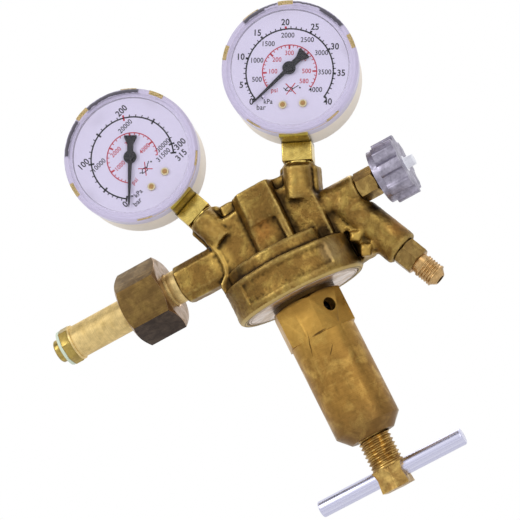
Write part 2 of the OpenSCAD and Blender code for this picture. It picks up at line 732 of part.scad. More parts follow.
module gauge_vent_plug(side) {
  color([0.15, 0.15, 0.16]) on_gauge(side) translate([0, gauge_back + 0.7, 17]) rotate([90, 0, 0]) {
    cylinder(r = 4.4, h = 0.65);
    cylinder(r = 3.5 - fit, h = 2.2);
  }
}

// Bourdon tube, a flattened C that starts in a slot of the block and ends in a tip piece
tube_r = 22;
tube_start = -84;
module gauge_tube(side) {
  color([0.72, 0.55, 0.30]) on_gauge(side) rotate([90, 0, 0]) {
    rotate([0, 0, tube_start]) rotate_extrude(angle = 272) translate([tube_r - 1, -4]) square([2, 7]);
    rotate([0, 0, tube_start + 271]) translate([tube_r - 4, 0, -2]) cube([4.5, 4, 3]);
  }
}

sector_r = 12;
pinion_r = 1.2;
gear_gap = 0.12;
sector_dir = 210;
sector_distance = sector_r + pinion_r + gear_gap;
// The pointer's axis stands a little beside the middle of the case
hub_x = -0.8;
hub_z = 0.8;
sector_pivot = [hub_x + sector_distance * cos(sector_dir), hub_z + sector_distance * sin(sector_dir)];
shaft_r = 0.7;
// Two plates on pillars, with the bearings of the pointer shaft and the sector, and the posts of the dial
module gauge_movement(side) {
  plate_low_z = block_top_z + eps + 2;
  pillars = [[-10.5, plate_low_z], [5, plate_low_z]];
  color([0.80, 0.66, 0.36]) on_gauge(side) difference() {
    union() {
      for (y = [-4, 2]) face_forward(y) linear_extrude(1) offset(r = 2, $fn = 16)
        polygon([[-13, plate_low_z], [5.6, plate_low_z], [2.5, 2.5], [-2.5, 2.5], [-13, -4]]);
      for (p = pillars) translate([p[0], -4, p[1]]) rotate([-90, 0, 0]) cylinder(r = 1.2, h = 6, $fn = 24);
      face_forward(-4) linear_extrude(1) translate([-dial_screw_x - 2, dial_screw_z - 2])
        square([2 * dial_screw_x + 4, 8]);
      for (s = [-1, 1]) translate([s * dial_screw_x, 0, dial_screw_z])
        face_forward(-4.5) cylinder(r = 1.7, h = -dial_y - 4.5 - eps, $fn = 32);
    }
    for (s = [-1, 1]) translate([s * dial_screw_x, 0, dial_screw_z])
      face_forward(-6) cylinder(r = 1 + fit, h = 12, $fn = 32);
    for (p = [[hub_x, hub_z], sector_pivot]) translate([p[0], 0, p[1]])
      face_forward(4) cylinder(r = shaft_r + run, h = 12, $fn = 32);
  }
}

// Toothed sector with its shaft and the link to the tube's tip
module gauge_sector(side) {
  color([0.80, 0.66, 0.36]) on_gauge(side) translate([sector_pivot[0], 0, sector_pivot[1]]) {
    face_forward(2.6) cylinder(r = shaft_r, h = 8.2, $fn = 32);
    face_forward(-1) linear_extrude(1) difference() {
      union() {
        circle(r = 2.4, $fn = 32);
        intersection() {
          circle(r = sector_r);
          polygon([[0, 0], [14, 0.6], [14, 14.6], [8, 15]]);
        }
      }
    }
  }
}

// Dial with two holes for the screws, one for the shaft, and a pin that stops the pointer at zero
dial_screw_x = 4.7;
dial_screw_z = -16.3;
pointer_rest = 225 + dial_turn;
module gauge_dial(side) {
  color([0.96, 0.96, 0.99]) on_gauge(side) {
    difference() {
      face_forward(dial_y) cylinder(r = dial_r, h = 0.6);
      translate([hub_x, 0, hub_z]) face_forward(dial_y + 1) cylinder(r = 1.6, h = 3);
      for (s = [-1, 1]) translate([s * dial_screw_x, 0, dial_screw_z])
        face_forward(dial_y + 1) cylinder(r = 1 + fit, h = 3, $fn = 32);
    }
    translate([hub_x, 0, hub_z]) face_forward(dial_y - 0.3) rotate([0, 0, pointer_rest + 4.6])
      translate([18, 0, 0]) cylinder(r = 0.5, h = 2.2, $fn = 16);
  }
}

module gauge_dial_screws(side) {
  color([0.80, 0.63, 0.30]) on_gauge(side) for (s = [-1, 1]) translate([s * dial_screw_x, 0, dial_screw_z]) {
    face_forward(dial_y - 0.62) cylinder(r = 1.8, h = 0.7);
    face_forward(dial_y + 4) cylinder(r = 1, h = 4.8, $fn = 32);
  }
}

// Pointer and its shaft, set at zero
module gauge_pointer(side) {
  tip = 24;
  blade = [[2, -0.95], [tip - 2, -0.4], [tip, 0], [tip - 2, 0.4], [2, 0.95]];
  tail = [[-2, 1.4], [-6, 1.4], [-9.5, 3.1], [-10.3, 2.9], [-10.3, -2.9], [-9.5, -3.1], [-6, -1.4], [-2, -1.4]];
  color([0.10, 0.10, 0.11]) on_gauge(side) translate([hub_x, 0, hub_z]) {
    face_forward(3.4) cylinder(r = shaft_r, h = 3.4 - dial_y + 1.6, $fn = 32);
    face_forward(0.6) cylinder(r = pinion_r, h = 3.4, $fn = 32);
    face_forward(dial_y - 1.4) rotate([0, 0, pointer_rest]) {
      linear_extrude(0.5) {
        polygon(concat(blade, tail));
        circle(r = 3.1, $fn = 40);
      }
      cylinder(r = 1.7, h = 1.2, $fn = 32);
    }
  }
}

module gauge_lens(side) {
  depth = case_front_y + 2.2 - front_y;
  color([0.85, 0.90, 0.95, 0.35]) on_gauge(side) face_forward(front_y + depth) rotate_extrude() polygon([
    [case_r + fit, 0], [lens_r, 0], [lens_r, depth - 1.2], [lens_r - 1.2, depth], [0, depth],
    [0, depth - 1.6], [lens_r - 2.6, depth - 1.6], [lens_r - 2.6, 2.25], [case_r + fit, 2.25]]);
}

module high_socket() { gauge_socket(-1); }
module high_case() { gauge_case(-1); }
module high_tube() { gauge_tube(-1); }
module high_movement() { gauge_movement(-1); }
module high_sector() { gauge_sector(-1); }
module high_dial() { gauge_dial(-1); }
module high_dial_screws() { gauge_dial_screws(-1); }
module high_pointer() { gauge_pointer(-1); }
module high_lens() { gauge_lens(-1); }
module high_vent_plug() { gauge_vent_plug(-1); }
module low_socket() { gauge_socket(1); }
module low_case() { gauge_case(1); }
module low_tube() { gauge_tube(1); }
module low_movement() { gauge_movement(1); }
module low_sector() { gauge_sector(1); }
module low_dial() { gauge_dial(1); }
module low_dial_screws() { gauge_dial_screws(1); }
module low_pointer() { gauge_pointer(1); }
module low_lens() { gauge_lens(1); }
module low_vent_plug() { gauge_vent_plug(1); }

regulator_body();
inlet_stem();
inlet_nipple();
inlet_washer();
inlet_filter();
inlet_nut();
nut_slip_washer();
bonnet();
diaphragm_ring();
diaphragm();
diaphragm_plate();
main_spring();
spring_button();
adjusting_screw();
tee_bar();
valve_nozzle();
valve_poppet();
poppet_seat();
poppet_spring();
gland_nut();
gland_packing();
needle_tip();
needle_stem();
knob();
knob_screw();
knob_cap();
outlet_fitting();
high_socket();
high_case();
high_tube();
high_movement();
high_sector();
high_dial();
high_dial_screws();
high_pointer();
high_lens();
high_vent_plug();
low_socket();
low_case();
low_tube();
low_movement();
low_sector();
low_dial();
low_dial_screws();
low_pointer();
low_lens();
low_vent_plug();
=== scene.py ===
import math

import bmesh
import bpy
import numpy as np
from mathutils import Matrix, Vector, noise


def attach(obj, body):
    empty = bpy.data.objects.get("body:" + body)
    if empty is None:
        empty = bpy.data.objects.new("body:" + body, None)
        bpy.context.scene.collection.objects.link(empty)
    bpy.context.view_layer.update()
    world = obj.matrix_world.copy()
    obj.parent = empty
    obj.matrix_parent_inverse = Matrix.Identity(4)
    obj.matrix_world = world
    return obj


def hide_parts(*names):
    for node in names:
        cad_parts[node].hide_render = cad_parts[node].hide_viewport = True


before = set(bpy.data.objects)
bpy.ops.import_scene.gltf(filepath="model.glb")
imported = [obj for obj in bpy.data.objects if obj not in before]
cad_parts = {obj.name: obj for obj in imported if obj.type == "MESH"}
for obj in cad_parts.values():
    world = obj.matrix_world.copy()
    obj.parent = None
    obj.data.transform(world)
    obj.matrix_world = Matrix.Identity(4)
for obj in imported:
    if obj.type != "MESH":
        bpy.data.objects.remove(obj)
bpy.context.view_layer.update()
mm = 0.001

# The camera stands low on the outlet side and looks slightly upwards at the whole regulator.
# It is rolled, so that the tee bar slopes and the inlet points down to the left.
camera_right = Vector((0.857166, 0.263827, -0.442337))
camera_up = Vector((0.468439, -0.042364, 0.882480))
camera_back = Vector((0.214083, -0.963639, -0.159900))
camera_place = Vector((0.375781, -1.223635, -0.210525))
camera_data = bpy.data.cameras.new("camera")
camera_data.sensor_width = 36
camera_data.lens = 189.06
camera_data.clip_start = 0.05
camera = bpy.data.objects.new("camera", camera_data)
turn = Matrix((camera_right, camera_up, camera_back)).transposed().to_4x4()
camera.matrix_world = Matrix.Translation(camera_place) @ turn
bpy.context.scene.collection.objects.link(camera)
bpy.context.scene.camera = camera
bpy.context.scene.view_settings.view_transform = "Standard"

# Pale floor below the camera, and a world that is white to the eye and to metal and glass.
# Three softboxes light the regulator; three dark cards give its metal and lenses something to reflect.
room_centre = Vector((0.1, 0.0, -0.02))
floor_z = -0.26
floor_reach = 4


def add(tree, kind, inputs=(), **settings):
    item = tree.nodes.new("ShaderNode" + kind)
    for key, value in settings.items():
        setattr(item, key, value)
    for key, value in dict(inputs).items():
        if isinstance(value, bpy.types.NodeSocket):
            tree.links.new(value, item.inputs[key])
        else:
            item.inputs[key].default_value = value
    return item


def calc(tree, operation, *values):
    return add(tree, "Math", dict(enumerate(values)), operation=operation).outputs[0]


def stretched(tree, value, low, high, start=0.0, end=1.0):
    ends = {"Value": value, "From Min": low, "From Max": high, "To Min": start, "To Max": end}
    return add(tree, "MapRange", ends).outputs[0]


def blended(tree, share, first, second, mode="MIX"):
    return add(tree, "Mix", {0: share, 6: first, 7: second}, data_type="RGBA", blend_type=mode).outputs[2]


def new_material(name, metallic=0.0, roughness=0.5):
    material = bpy.data.materials.new(name)
    material.use_nodes = True
    shader = material.node_tree.nodes["Principled BSDF"]
    shader.inputs["Metallic"].default_value = metallic
    shader.inputs["Roughness"].default_value = roughness
    return material, material.node_tree


def feed(tree, socket, value):
    tree.links.new(value, tree.nodes["Principled BSDF"].inputs[socket])


def bumped(tree, height, strength, depth):
    rise = add(tree, "Bump", {"Height": height, "Strength": strength, "Distance": depth})
    feed(tree, "Normal", rise.outputs[0])


# A surface of two close tones mixed by a noise, which also gives it a grain where that is asked for
def mottled(name, metallic, roughness, first, second, scale, detail=2.0, spread=(0.0, 1.0), grain=0.0):
    material, tree = new_material(name, metallic, roughness)
    tone = add(tree, "TexNoise", {"Scale": scale, "Detail": detail}).outputs[0]
    feed(tree, "Base Color", blended(tree, stretched(tree, tone, *spread), (*first, 1), (*second, 1)))
    if grain:
        bumped(tree, tone, grain, 0.1 * mm)
    return material


def flat_piece(name, corners, material):
    mesh = bpy.data.meshes.new(name)
    mesh.from_pydata(corners, [], [tuple(range(len(corners)))])
    mesh.materials.append(material)
    piece = bpy.data.objects.new(name, mesh)
    bpy.context.scene.collection.objects.link(piece)
    return piece


world = bpy.data.worlds.new("studio")
bpy.context.scene.world = world
world.use_nodes = True
sky = world.node_tree
sky.nodes.clear()
path = add(sky, "LightPath")
seen = calc(sky, "MAXIMUM", path.outputs["Is Camera Ray"], path.outputs["Is Glossy Ray"])
seen = calc(sky, "MAXIMUM", seen, path.outputs["Is Transmission Ray"])
strength = stretched(sky, seen, 0.0, 1.0, 0.75, 1.0)
background = add(sky, "Background", {"Color": (1, 1, 1, 1), "Strength": strength})
sky_out = sky.nodes.new("ShaderNodeOutputWorld")
sky.links.new(background.outputs[0], sky_out.inputs[0])

floor_paint = mottled("floor_paint", 0.0, 0.9, (0.84, 0.84, 0.84), (0.88, 0.88, 0.88), 60.0, 3.0)
corner_signs = ((-1, -1), (1, -1), (1, 1), (-1, 1))
floor_corners = [(sx * floor_reach, sy * floor_reach, floor_z) for sx, sy in corner_signs]
floor = flat_piece("floor", floor_corners, floor_paint)

card_paint, tree = new_material("card_paint", 0.0, 0.9)
tree.nodes["Principled BSDF"].inputs["Base Color"].default_value = (0.012, 0.012, 0.014, 1)


def dark_card(name, centre, width, height):
    face = (room_centre - Vector(centre)).to_track_quat("Z", "Y")
    corners = [Vector(centre) + face @ Vector((sx * width / 2, sy * height / 2, 0))
               for sx, sy in corner_signs]
    card = flat_piece(name, corners, card_paint)
    card.visible_camera = False
    card.visible_diffuse = False
    card.visible_shadow = False


dark_card("card_left", (-0.95, -0.45, 0.55), 0.45, 1.2)
dark_card("card_top", (-0.1, -0.5, 1.2), 1.3, 0.35)
dark_card("card_right", (1.2, -0.2, -0.1), 0.35, 1.1)


def softbox(name, place, size, power):
    data = bpy.data.lights.new(name, "AREA")
    data.shape = "RECTANGLE"
    data.size, data.size_y = size
    data.energy = power
    box = bpy.data.objects.new(name, data)
    box.location = place
    box.rotation_euler = (room_centre - Vector(place)).to_track_quat("-Z", "Y").to_euler()
    bpy.context.scene.collection.objects.link(box)


softbox("key", (-0.7, -1.1, 0.9), (0.5, 0.5), 7.0)
softbox("fill", (1.1, -0.9, 0.3), (0.4, 0.8), 3.0)
softbox("rim", (0.3, 0.9, 0.9), (0.8, 0.4), 3.0)

# Forged brass body, shot clean and left raw, so that its pitted skin has tarnished to olive and brown.
# Panels, column and flanks are as forged; the ring's mouth is turned bright.
axis_x = 114.4 * mm
ring_bottom = -32.5 * mm
mouth_radius = 33 * mm
voxel = 0.55 * mm


def node_group(name, inputs, outputs):
    group = bpy.data.node_groups.new(name, "ShaderNodeTree")
    kinds = {"value": "NodeSocketFloat", "colour": "NodeSocketColor", "vector": "NodeSocketVector"}
    for label, kind, start in inputs:
        socket = group.interface.new_socket(label, in_out="INPUT", socket_type=kinds[kind])
        socket.default_value = start
    for label, kind in outputs:
        group.interface.new_socket(label, in_out="OUTPUT", socket_type=kinds[kind])
    return group, group.nodes.new("NodeGroupInput").outputs, group.nodes.new("NodeGroupOutput").inputs


def scaled(tree, value, factor):
    return calc(tree, "MULTIPLY", value, factor)


def summed(tree, *values):
    total = values[0]
    for value in values[1:]:
        total = calc(tree, "ADD", total, value)
    return calc(tree, "MINIMUM", total, 1.0)


# Brown patches and dark specks on bare metal, which are also duller than the clean metal round them
tarnish, put, get = node_group(
    "tarnish",
    [("Clean", "colour", (0.5, 0.36, 0.13, 1)), ("Stain", "colour", (0.25, 0.15, 0.05, 1)),
     ("Dark", "colour", (0.06, 0.04, 0.02, 1)), ("Patch Size", "value", 9.0), ("Stains", "value", 0.5),
     ("Specks", "value", 0.4), ("Smooth", "value", 0.3), ("Dull", "value", 0.5)],
    [("Color", "colour"), ("Roughness", "value")])
where = add(tarnish, "TexCoord").outputs["Object"]
size = calc(tarnish, "DIVIDE", 1 / mm, put["Patch Size"])
patches = add(tarnish, "TexNoise", {"Vector": where, "Scale": size, "Detail": 6.0, "Roughness": 0.62,
                                    "Distortion": 0.6})
edge = calc(tarnish, "SUBTRACT", 0.78, put["Stains"])
patch_mask = stretched(tarnish, patches.outputs[0], edge, calc(tarnish, "ADD", edge, 0.2))
speckle = add(tarnish, "TexNoise", {"Vector": where, "Scale": 1400.0, "Detail": 3.0, "Roughness": 0.7})
speck_mask = scaled(tarnish, stretched(tarnish, speckle.outputs[0], 0.58, 0.70), put["Specks"])
fine = add(tarnish, "TexNoise", {"Vector": where, "Scale": 420.0, "Detail": 4.0})
fine_tone = stretched(tarnish, fine.outputs[0], 0.3, 0.7, 0.82, 1.14)
tone = add(tarnish, "CombineColor", {k: fine_tone for k in range(3)}).outputs[0]
base = blended(tarnish, patch_mask, put["Clean"], put["Stain"])
base = blended(tarnish, speck_mask, base, put["Dark"])
tarnish.links.new(blended(tarnish, 1.0, base, tone, "MULTIPLY"), get["Color"])
worst = calc(tarnish, "MAXIMUM", patch_mask, speck_mask)
tarnish.links.new(stretched(tarnish, worst, 0.0, 1.0, put["Smooth"], put["Dull"]), get["Roughness"])

skin, put, get = node_group("forged_skin", [("Grain Size", "value", 1.2)], [("Height", "value")])
where = add(skin, "TexCoord").outputs["Object"]
size = calc(skin, "DIVIDE", 1 / mm, put["Grain Size"])
grains = add(skin, "TexNoise", {"Vector": where, "Scale": size, "Detail": 5.0, "Roughness": 0.65})
pits = add(skin, "TexVoronoi", {"Vector": where, "Scale": 620.0, "Randomness": 1.0})
pit_depth = stretched(skin, pits.outputs["Distance"], 0.0, 0.35)
skin.links.new(scaled(skin, grains.outputs[0], pit_depth), get["Height"])


def placed(tree, group, **values):
    item = tree.nodes.new("ShaderNodeGroup")
    item.node_tree = group
    for key, value in values.items():
        item.inputs[key.replace("_", " ")].default_value = value
    return item.outputs


def tarnished(tree, clean, stain, dark, patch=8.0, stains=0.4, specks=0.3, smooth=0.25, dull=0.42):
    marks = placed(tree, tarnish, Clean=(*clean, 1), Stain=(*stain, 1), Dark=(*dark, 1), Patch_Size=patch,
                   Stains=stains, Specks=specks, Smooth=smooth, Dull=dull)
    feed(tree, "Roughness", marks["Roughness"])
    return marks["Color"]


def painted(tree, label):
    return add(tree, "Attribute", attribute_name=label).outputs["Fac"]


forged_brass, tree = new_material("forged_brass", 1.0)
colour = tarnished(tree, (0.385, 0.262, 0.068), (0.215, 0.122, 0.032), (0.05, 0.032, 0.012),
                   patch=9.0, stains=0.44, specks=0.75, smooth=0.33, dull=0.5)
crest, hollow = painted(tree, "crest"), painted(tree, "hollow")
browned = scaled(tree, stretched(tree, hollow, -0.1, 0.2), 0.3)
colour = blended(tree, browned, colour, (0.27, 0.14, 0.03, 1))
tints = {"golden": ((0.62, 0.40, 0.10, 1), 0.75), "rusty": ((0.50, 0.23, 0.055, 1), 0.7),
         "rubbed": ((0.58, 0.44, 0.22, 1), 0.7), "turned": ((0.52, 0.38, 0.15, 1), 0.9)}
for label, (tint, amount) in tints.items():
    colour = blended(tree, scaled(tree, painted(tree, label), amount), colour, tint)
# Painted shade: broad hollows and small creases are painted near black
hollow_shade = scaled(tree, stretched(tree, hollow, 0.05, 0.45), 0.8)
# Crests are painted brighter, partly as edge wear and partly as painted highlight
edge_wear_and_highlight = scaled(tree, stretched(tree, crest, 0.03, 0.16), 0.5)
crease_shade = scaled(tree, stretched(tree, crest, -0.02, -0.12), 0.9)
colour = blended(tree, summed(tree, hollow_shade, painted(tree, "shadow_spots")), colour, (0.045, 0.025, 0.009, 1))
colour = blended(tree, edge_wear_and_highlight, colour, (0.58, 0.42, 0.14, 1))
colour = blended(tree, crease_shade, colour, (0.030, 0.018, 0.007, 1))
feed(tree, "Base Color", colour)
relief = stretched(tree, painted(tree, "etched"), 0.0, 1.0, 0.25 * mm, 0.9 * mm)
bumped(tree, placed(tree, skin, Grain_Size=1.3)["Height"], 0.6, relief)


# A closed block between a left and a right outline, in millimetres from the bonnet's axis
def solid_between(bm, left, right):
    sides = [[bm.verts.new(Vector((axis_x, 0, 0)) + Vector(p) * mm) for p in row] for row in (left, right)]
    count = len(left)
    faces = [bm.faces.new(sides[0]), bm.faces.new(sides[1][::-1])]
    for i in range(count):
        k = (i + 1) % count
        faces.append(bm.faces.new((sides[0][k], sides[0][i], sides[1][i], sides[1][k])))
    bmesh.ops.recalc_face_normals(bm, faces=faces)


def remeshed(node, step, *fills):
    bm = bmesh.new()
    bm.from_mesh(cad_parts[node].data)
    for left, right in fills:
        solid_between(bm, left, right)
    mesh = bpy.data.meshes.new("ghost")
    bm.to_mesh(mesh)
    bm.free()
    ghost = bpy.data.objects.new("ghost", mesh)
    bpy.context.scene.collection.objects.link(ghost)
    cells = ghost.modifiers.new("cells", "REMESH")
    cells.mode = "VOXEL"
    cells.voxel_size = step
    mesh = bpy.data.meshes.new_from_object(ghost.evaluated_get(bpy.context.evaluated_depsgraph_get()))
    bpy.data.objects.remove(ghost)
    return mesh


# Metal that the forging leaves in the pad's recess and between ring and branch
recess = [(-8, 6.8), (-12.9, 6.8), (-12.5, 4.5), (-11.9, 0), (-11.6, -8.3), (-8, -8.3)]
recess_fill = ([(-8.5 + 4.3 * (-8 - y) / 6, y, z) for y, z in recess], [(8.9, y, z) for y, z in recess])
web = [(30, -15.2), (35.2, -16.7), (36.5, -24), (39.5, -29.3), (38, -31.3), (30, -31.3)]
web_face = [(33.6, -15), (38, -17.5), (42, -24), (44.5, -29.3), (42, -30.8), (34.8, -30.8)]
web_fill = ([(x, -3.8, z) for x, z in web_face], [(x, 6, z) for x, z in web])
body_mesh = remeshed("regulator_body", voxel, recess_fill, web_fill)
co = np.empty(len(body_mesh.vertices) * 3)
body_mesh.vertices.foreach_get("co", co)
co = co.reshape(-1, 3)
edges = np.empty(len(body_mesh.edges) * 2, int)
body_mesh.edges.foreach_get("vertices", edges)
edges = edges.reshape(-1, 2)
neighbours = np.bincount(edges.ravel(), minlength=len(co))
from_axis = np.hypot(co[:, 0] - axis_x, co[:, 1])
turned = (co[:, 2] < ring_bottom + 1.2 * mm) & (from_axis < mouth_radius)


def smoothed(points, rounds, share):
    for _ in range(rounds):
        mean = np.empty_like(points)
        for k in range(3):
            mean[:, k] = (np.bincount(edges[:, 0], points[edges[:, 1], k], len(points))
                          + np.bincount(edges[:, 1], points[edges[:, 0], k], len(points)))
        points = points + share * (mean / neighbours[:, None] - points)
    return points


# Spots on the body's front: x from the bonnet's axis, z and radius, all in millimetres, and strength
def spots(*marks):
    value = np.zeros(len(co))
    for x, z, reach, amount in marks:
        away = np.hypot(co[:, 0] - axis_x - x * mm, co[:, 2] - z * mm) / (reach * mm)
        value = np.maximum(value, amount * np.clip(1.6 - 1.6 * away, 0, 1))
    return value * (co[:, 1] < 3 * mm)


def unevenness(scale):
    return np.array([noise.noise(Vector(p) * scale) for p in co])


# The skin is rounded off everywhere, and most where the forging is soft; the web is left lumpy
flash = spots((36.6, -19.3, 6, 1), (38.5, -28, 6.5, 1)) * (from_axis > mouth_radius - 0.5 * mm)
rounded = spots((1, 3, 11, 1), (24, 6, 6, 1), (27, -2, 6, 1), (29.5, -9, 5, 1))
melted = np.maximum(0.6 * flash, 0.8 * rounded)
co = smoothed(co, 7, np.where(turned, 0.15, 0.7)[:, None])
co = smoothed(co, 9, 0.9 * melted[:, None])
body_mesh.vertices.foreach_set("co", co.ravel())
body_mesh.update()
normals = np.array([v.normal for v in body_mesh.vertices])
lumps = 0.22 * unevenness(160) + 0.09 * unevenness(620) + 0.34 * flash * unevenness(380)
co = co + normals * (lumps * np.where(turned, 0.0, mm))[:, None]
body_mesh.vertices.foreach_set("co", co.ravel())
close = smoothed(co, 5, 0.8)
broad = smoothed(close, 35, 0.9)
ragged = np.clip(0.95 + 0.9 * unevenness(300), 0, 1)
# Painted shadows, given as spots, in gaps and corners where shade falls, such as between the gland nut and
# the branch
gap_shadows = spots((25.8, -12, 4.8, 1), (33, -24, 3.6, 0.75), (50, -11.6, 5, 1), (55, -14.5, 4.5, 1),
              (-17.8, -10.8, 5, 0.8), (32.5, -30, 2.5, 0.7))
paint = {
    # The shadow spots also hold two broad, faint darker spots
    "shadow_spots": np.maximum(gap_shadows * ragged, spots((5.4, 12.3, 13, 0.22), (58, -20, 16, 0.2))),
    "golden": ragged * spots((-25, -1, 7, 1), (-25, 5, 6, 1), (36.6, -19, 5, 0.8), (38.5, -28, 5, 0.8),
                             (34, -12.5, 5, 0.5), (25.2, 16.2, 10, 0.45), (-20, 15, 10, 0.45)),
    "rusty": ragged * spots((0.5, 2, 6, 1), (56, -23.5, 7, 0.7), (-4, -1, 3.5, 0.4)),
    "rubbed": ragged * spots((27.5, -23, 8, 0.6)),
    "etched": spots((18.6, 1.6, 11, 1), (33, -12.7, 5, 0.8)),
    "turned": turned * 1.0,
    # Small-scale convexity and broad concavity, from which the material paints highlight and shade
    "crest": ((co - close) * normals).sum(1) / mm * (1 - 0.8 * flash),
    "hollow": ((broad - co) * normals).sum(1) / mm * (1 - 0.5 * flash),
}
for label, value in paint.items():
    body_mesh.attributes.new(label, "FLOAT", "POINT").data.foreach_set("value", value.astype(np.float32))
body_mesh.shade_smooth()
body_mesh.materials.clear()
body_mesh.materials.append(forged_brass)


def add_piece(name, mesh, body, slot, *nodes):
    piece = bpy.data.objects.new(name, mesh)
    bpy.context.scene.collection.objects.link(piece)
    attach(piece, body)
    if nodes:
        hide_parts(*nodes)


add_piece("body_forging", body_mesh, "body", "cast_brass", "regulator_body")

# Bonnet, turned from hexagon bar and screwed up into the ring, where its flange closes the mouth.
# The bar's golden skin has gone blotchy from hands and cleaning; its turned faces show fine lines.
# Three shallow grooves round the flange are drawn as thin dark rings.
along_z = (0, 0, 1)
lathe, put, get = node_group("lathe_lines", [("Axis", "vector", along_z), ("Pitch", "value", 0.35)],
                             [("Height", "value"), ("Shade", "value")])
where = add(lathe, "TexCoord").outputs["Object"]
along = add(lathe, "VectorMath", {0: where, 1: put["Axis"]}, operation="DOT_PRODUCT").outputs["Value"]
along = calc(lathe, "DIVIDE", scaled(lathe, along, 1 / mm), put["Pitch"])
lines = add(lathe, "TexNoise", {"W": along, "Scale": 1.0, "Detail": 4.0, "Roughness": 0.7},
            noise_dimensions="1D").outputs[0]
lathe.links.new(lines, get["Height"])
lathe.links.new(stretched(lathe, lines, 0.3, 0.7, 0.86, 1.12), get["Shade"])


def brass(name, clean, stain, dark, axis, pitch=0.35, relief=0.25, **wear):
    material, tree = new_material(name, 1.0)
    marks = tarnished(tree, clean, stain, dark, **wear)
    cut = placed(tree, lathe, Axis=axis, Pitch=pitch)
    shade = add(tree, "CombineColor", {k: cut["Shade"] for k in range(3)}).outputs[0]
    feed(tree, "Base Color", blended(tree, 1.0, marks, shade, "MULTIPLY"))
    bumped(tree, cut["Height"], relief, 0.08 * mm)
    return material


def mixed_in(tree, share, colour):
    socket = tree.nodes["Principled BSDF"].inputs["Base Color"]
    tree.links.new(blended(tree, share, socket.links[0].from_socket, (*colour, 1)), socket)


# Another tone from start to end along an axis, with a ragged edge
def toned(material, axis, start, end, colour, amount):
    tree = material.node_tree
    where = add(tree, "TexCoord").outputs["Object"]
    rise = add(tree, "VectorMath", {0: where, 1: axis}, operation="DOT_PRODUCT").outputs["Value"]
    ragged = add(tree, "TexNoise", {"Vector": where, "Scale": 260.0, "Detail": 4.0}).outputs[0]
    rise = calc(tree, "MULTIPLY_ADD", ragged, 0.2 * (end - start), rise)
    mixed_in(tree, scaled(tree, stretched(tree, rise, start, end), amount), colour)


# A dark gouge on the front, given by its middle, slope in degrees, half length and half width
def scarred(material, centre, slope, length, width):
    tree = material.node_tree
    where = add(tree, "TexCoord").outputs["Object"]
    ragged = add(tree, "TexNoise", {"Vector": where, "Scale": 500.0}).outputs["Color"]
    where = add(tree, "VectorMath", {0: ragged, 1: (0.6 * mm, 0.0, 0.6 * mm), 2: where},
                operation="MULTIPLY_ADD").outputs[0]
    face = {0: where, 1: centre, 2: (0, math.radians(-slope), 0), 3: (length, 50 * mm, width)}
    spot = add(tree, "Mapping", face, vector_type="TEXTURE").outputs[0]
    away = add(tree, "VectorMath", {0: spot}, operation="LENGTH").outputs["Value"]
    mixed_in(tree, scaled(tree, stretched(tree, away, 1.15, 0.6), 0.85), (0.07, 0.035, 0.012))


def cleaned(node):
    bm = bmesh.new()
    bm.from_mesh(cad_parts[node].data)
    bmesh.ops.remove_doubles(bm, verts=bm.verts, dist=0.002 * mm)
    bmesh.ops.dissolve_limit(bm, angle_limit=math.radians(0.4), verts=bm.verts, edges=bm.edges)
    return bm


def eased_edges(bm, width):
    corner = math.radians(28)
    sharp = [e for e in bm.edges if len(e.link_faces) == 2 and e.calc_face_angle(0) > corner]
    bmesh.ops.bevel(bm, geom=sharp, offset=width, segments=2, profile=0.6, affect="EDGES", clamp_overlap=True)


def finished_mesh(bm, name, *materials, angle=35):
    mesh = bpy.data.meshes.new(name)
    bm.to_mesh(mesh)
    bm.free()
    mesh.shade_smooth()
    mesh.set_sharp_from_angle(angle=math.radians(angle))
    for material in materials:
        mesh.materials.append(material)
    return mesh


def eased_piece(name, node, body, slot, material, width):
    bm = cleaned(node)
    eased_edges(bm, width)
    add_piece(name, finished_mesh(bm, name, material), body, slot, node)


# A flat band round a centre in the xz plane, in millimetres and degrees
def arc(bm, centre, radius, width, start, end):
    steps = max(2, int(abs(end - start) / 3))
    rows = []
    for k in range(steps + 1):
        a = math.radians(start + (end - start) * k / steps)
        x, z = math.cos(a), math.sin(a)
        rows.append([bm.verts.new(((centre[0] + r * x) * mm, 0, (centre[1] + r * z) * mm))
                     for r in (radius - width / 2, radius + width / 2)])
    for (a, b), (c, d) in zip(rows, rows[1:]):
        bm.faces.new((a, b, d, c))


bonnet_brass = brass("bonnet_brass", (0.53, 0.325, 0.085), (0.34, 0.185, 0.045), (0.10, 0.05, 0.02), along_z,
                     stains=0.46, specks=0.4, smooth=0.24, dull=0.44)
toned(bonnet_brass, along_z, ring_bottom - 32 * mm, ring_bottom - 14 * mm, (0.62, 0.37, 0.08), 0.45)
scarred(bonnet_brass, (axis_x + 3 * mm, 0, -52.4 * mm), 3, 4.2 * mm, 0.55 * mm)
scarred(bonnet_brass, (axis_x - 3.5 * mm, 0, -55 * mm), 74, 6 * mm, 0.3 * mm)
scarred(bonnet_brass, (axis_x + 4.2 * mm, 0, -62 * mm), 52, 3.2 * mm, 0.25 * mm)
# Painted shadow: the bonnet is painted near black just under the ring
toned(bonnet_brass, along_z, ring_bottom - 3.6 * mm, ring_bottom - 2 * mm, (0.045, 0.025, 0.009), 0.95)
machined_brass = brass("machined_brass", (0.78, 0.66, 0.58), (0.62, 0.48, 0.36), (0.30, 0.20, 0.12), along_z,
                       patch=7.0, stains=0.35, specks=0.2, smooth=0.30)
bm = cleaned("bonnet")
eased_edges(bm, 0.35 * mm)
for face in bm.faces:
    if face.calc_center_median().z > ring_bottom - 0.2 * mm and face.normal.z < -0.3:
        face.material_index = 1
low_end = min(v.co.z for v in bm.verts)
toned(bonnet_brass, along_z, low_end + 17 * mm, low_end + 3 * mm, (0.13, 0.07, 0.028), 0.6)
bonnet_mesh = finished_mesh(bm, "bonnet_shell", bonnet_brass, machined_brass)
add_piece("bonnet_shell", bonnet_mesh, "body", "bonnet_brass", "bonnet")

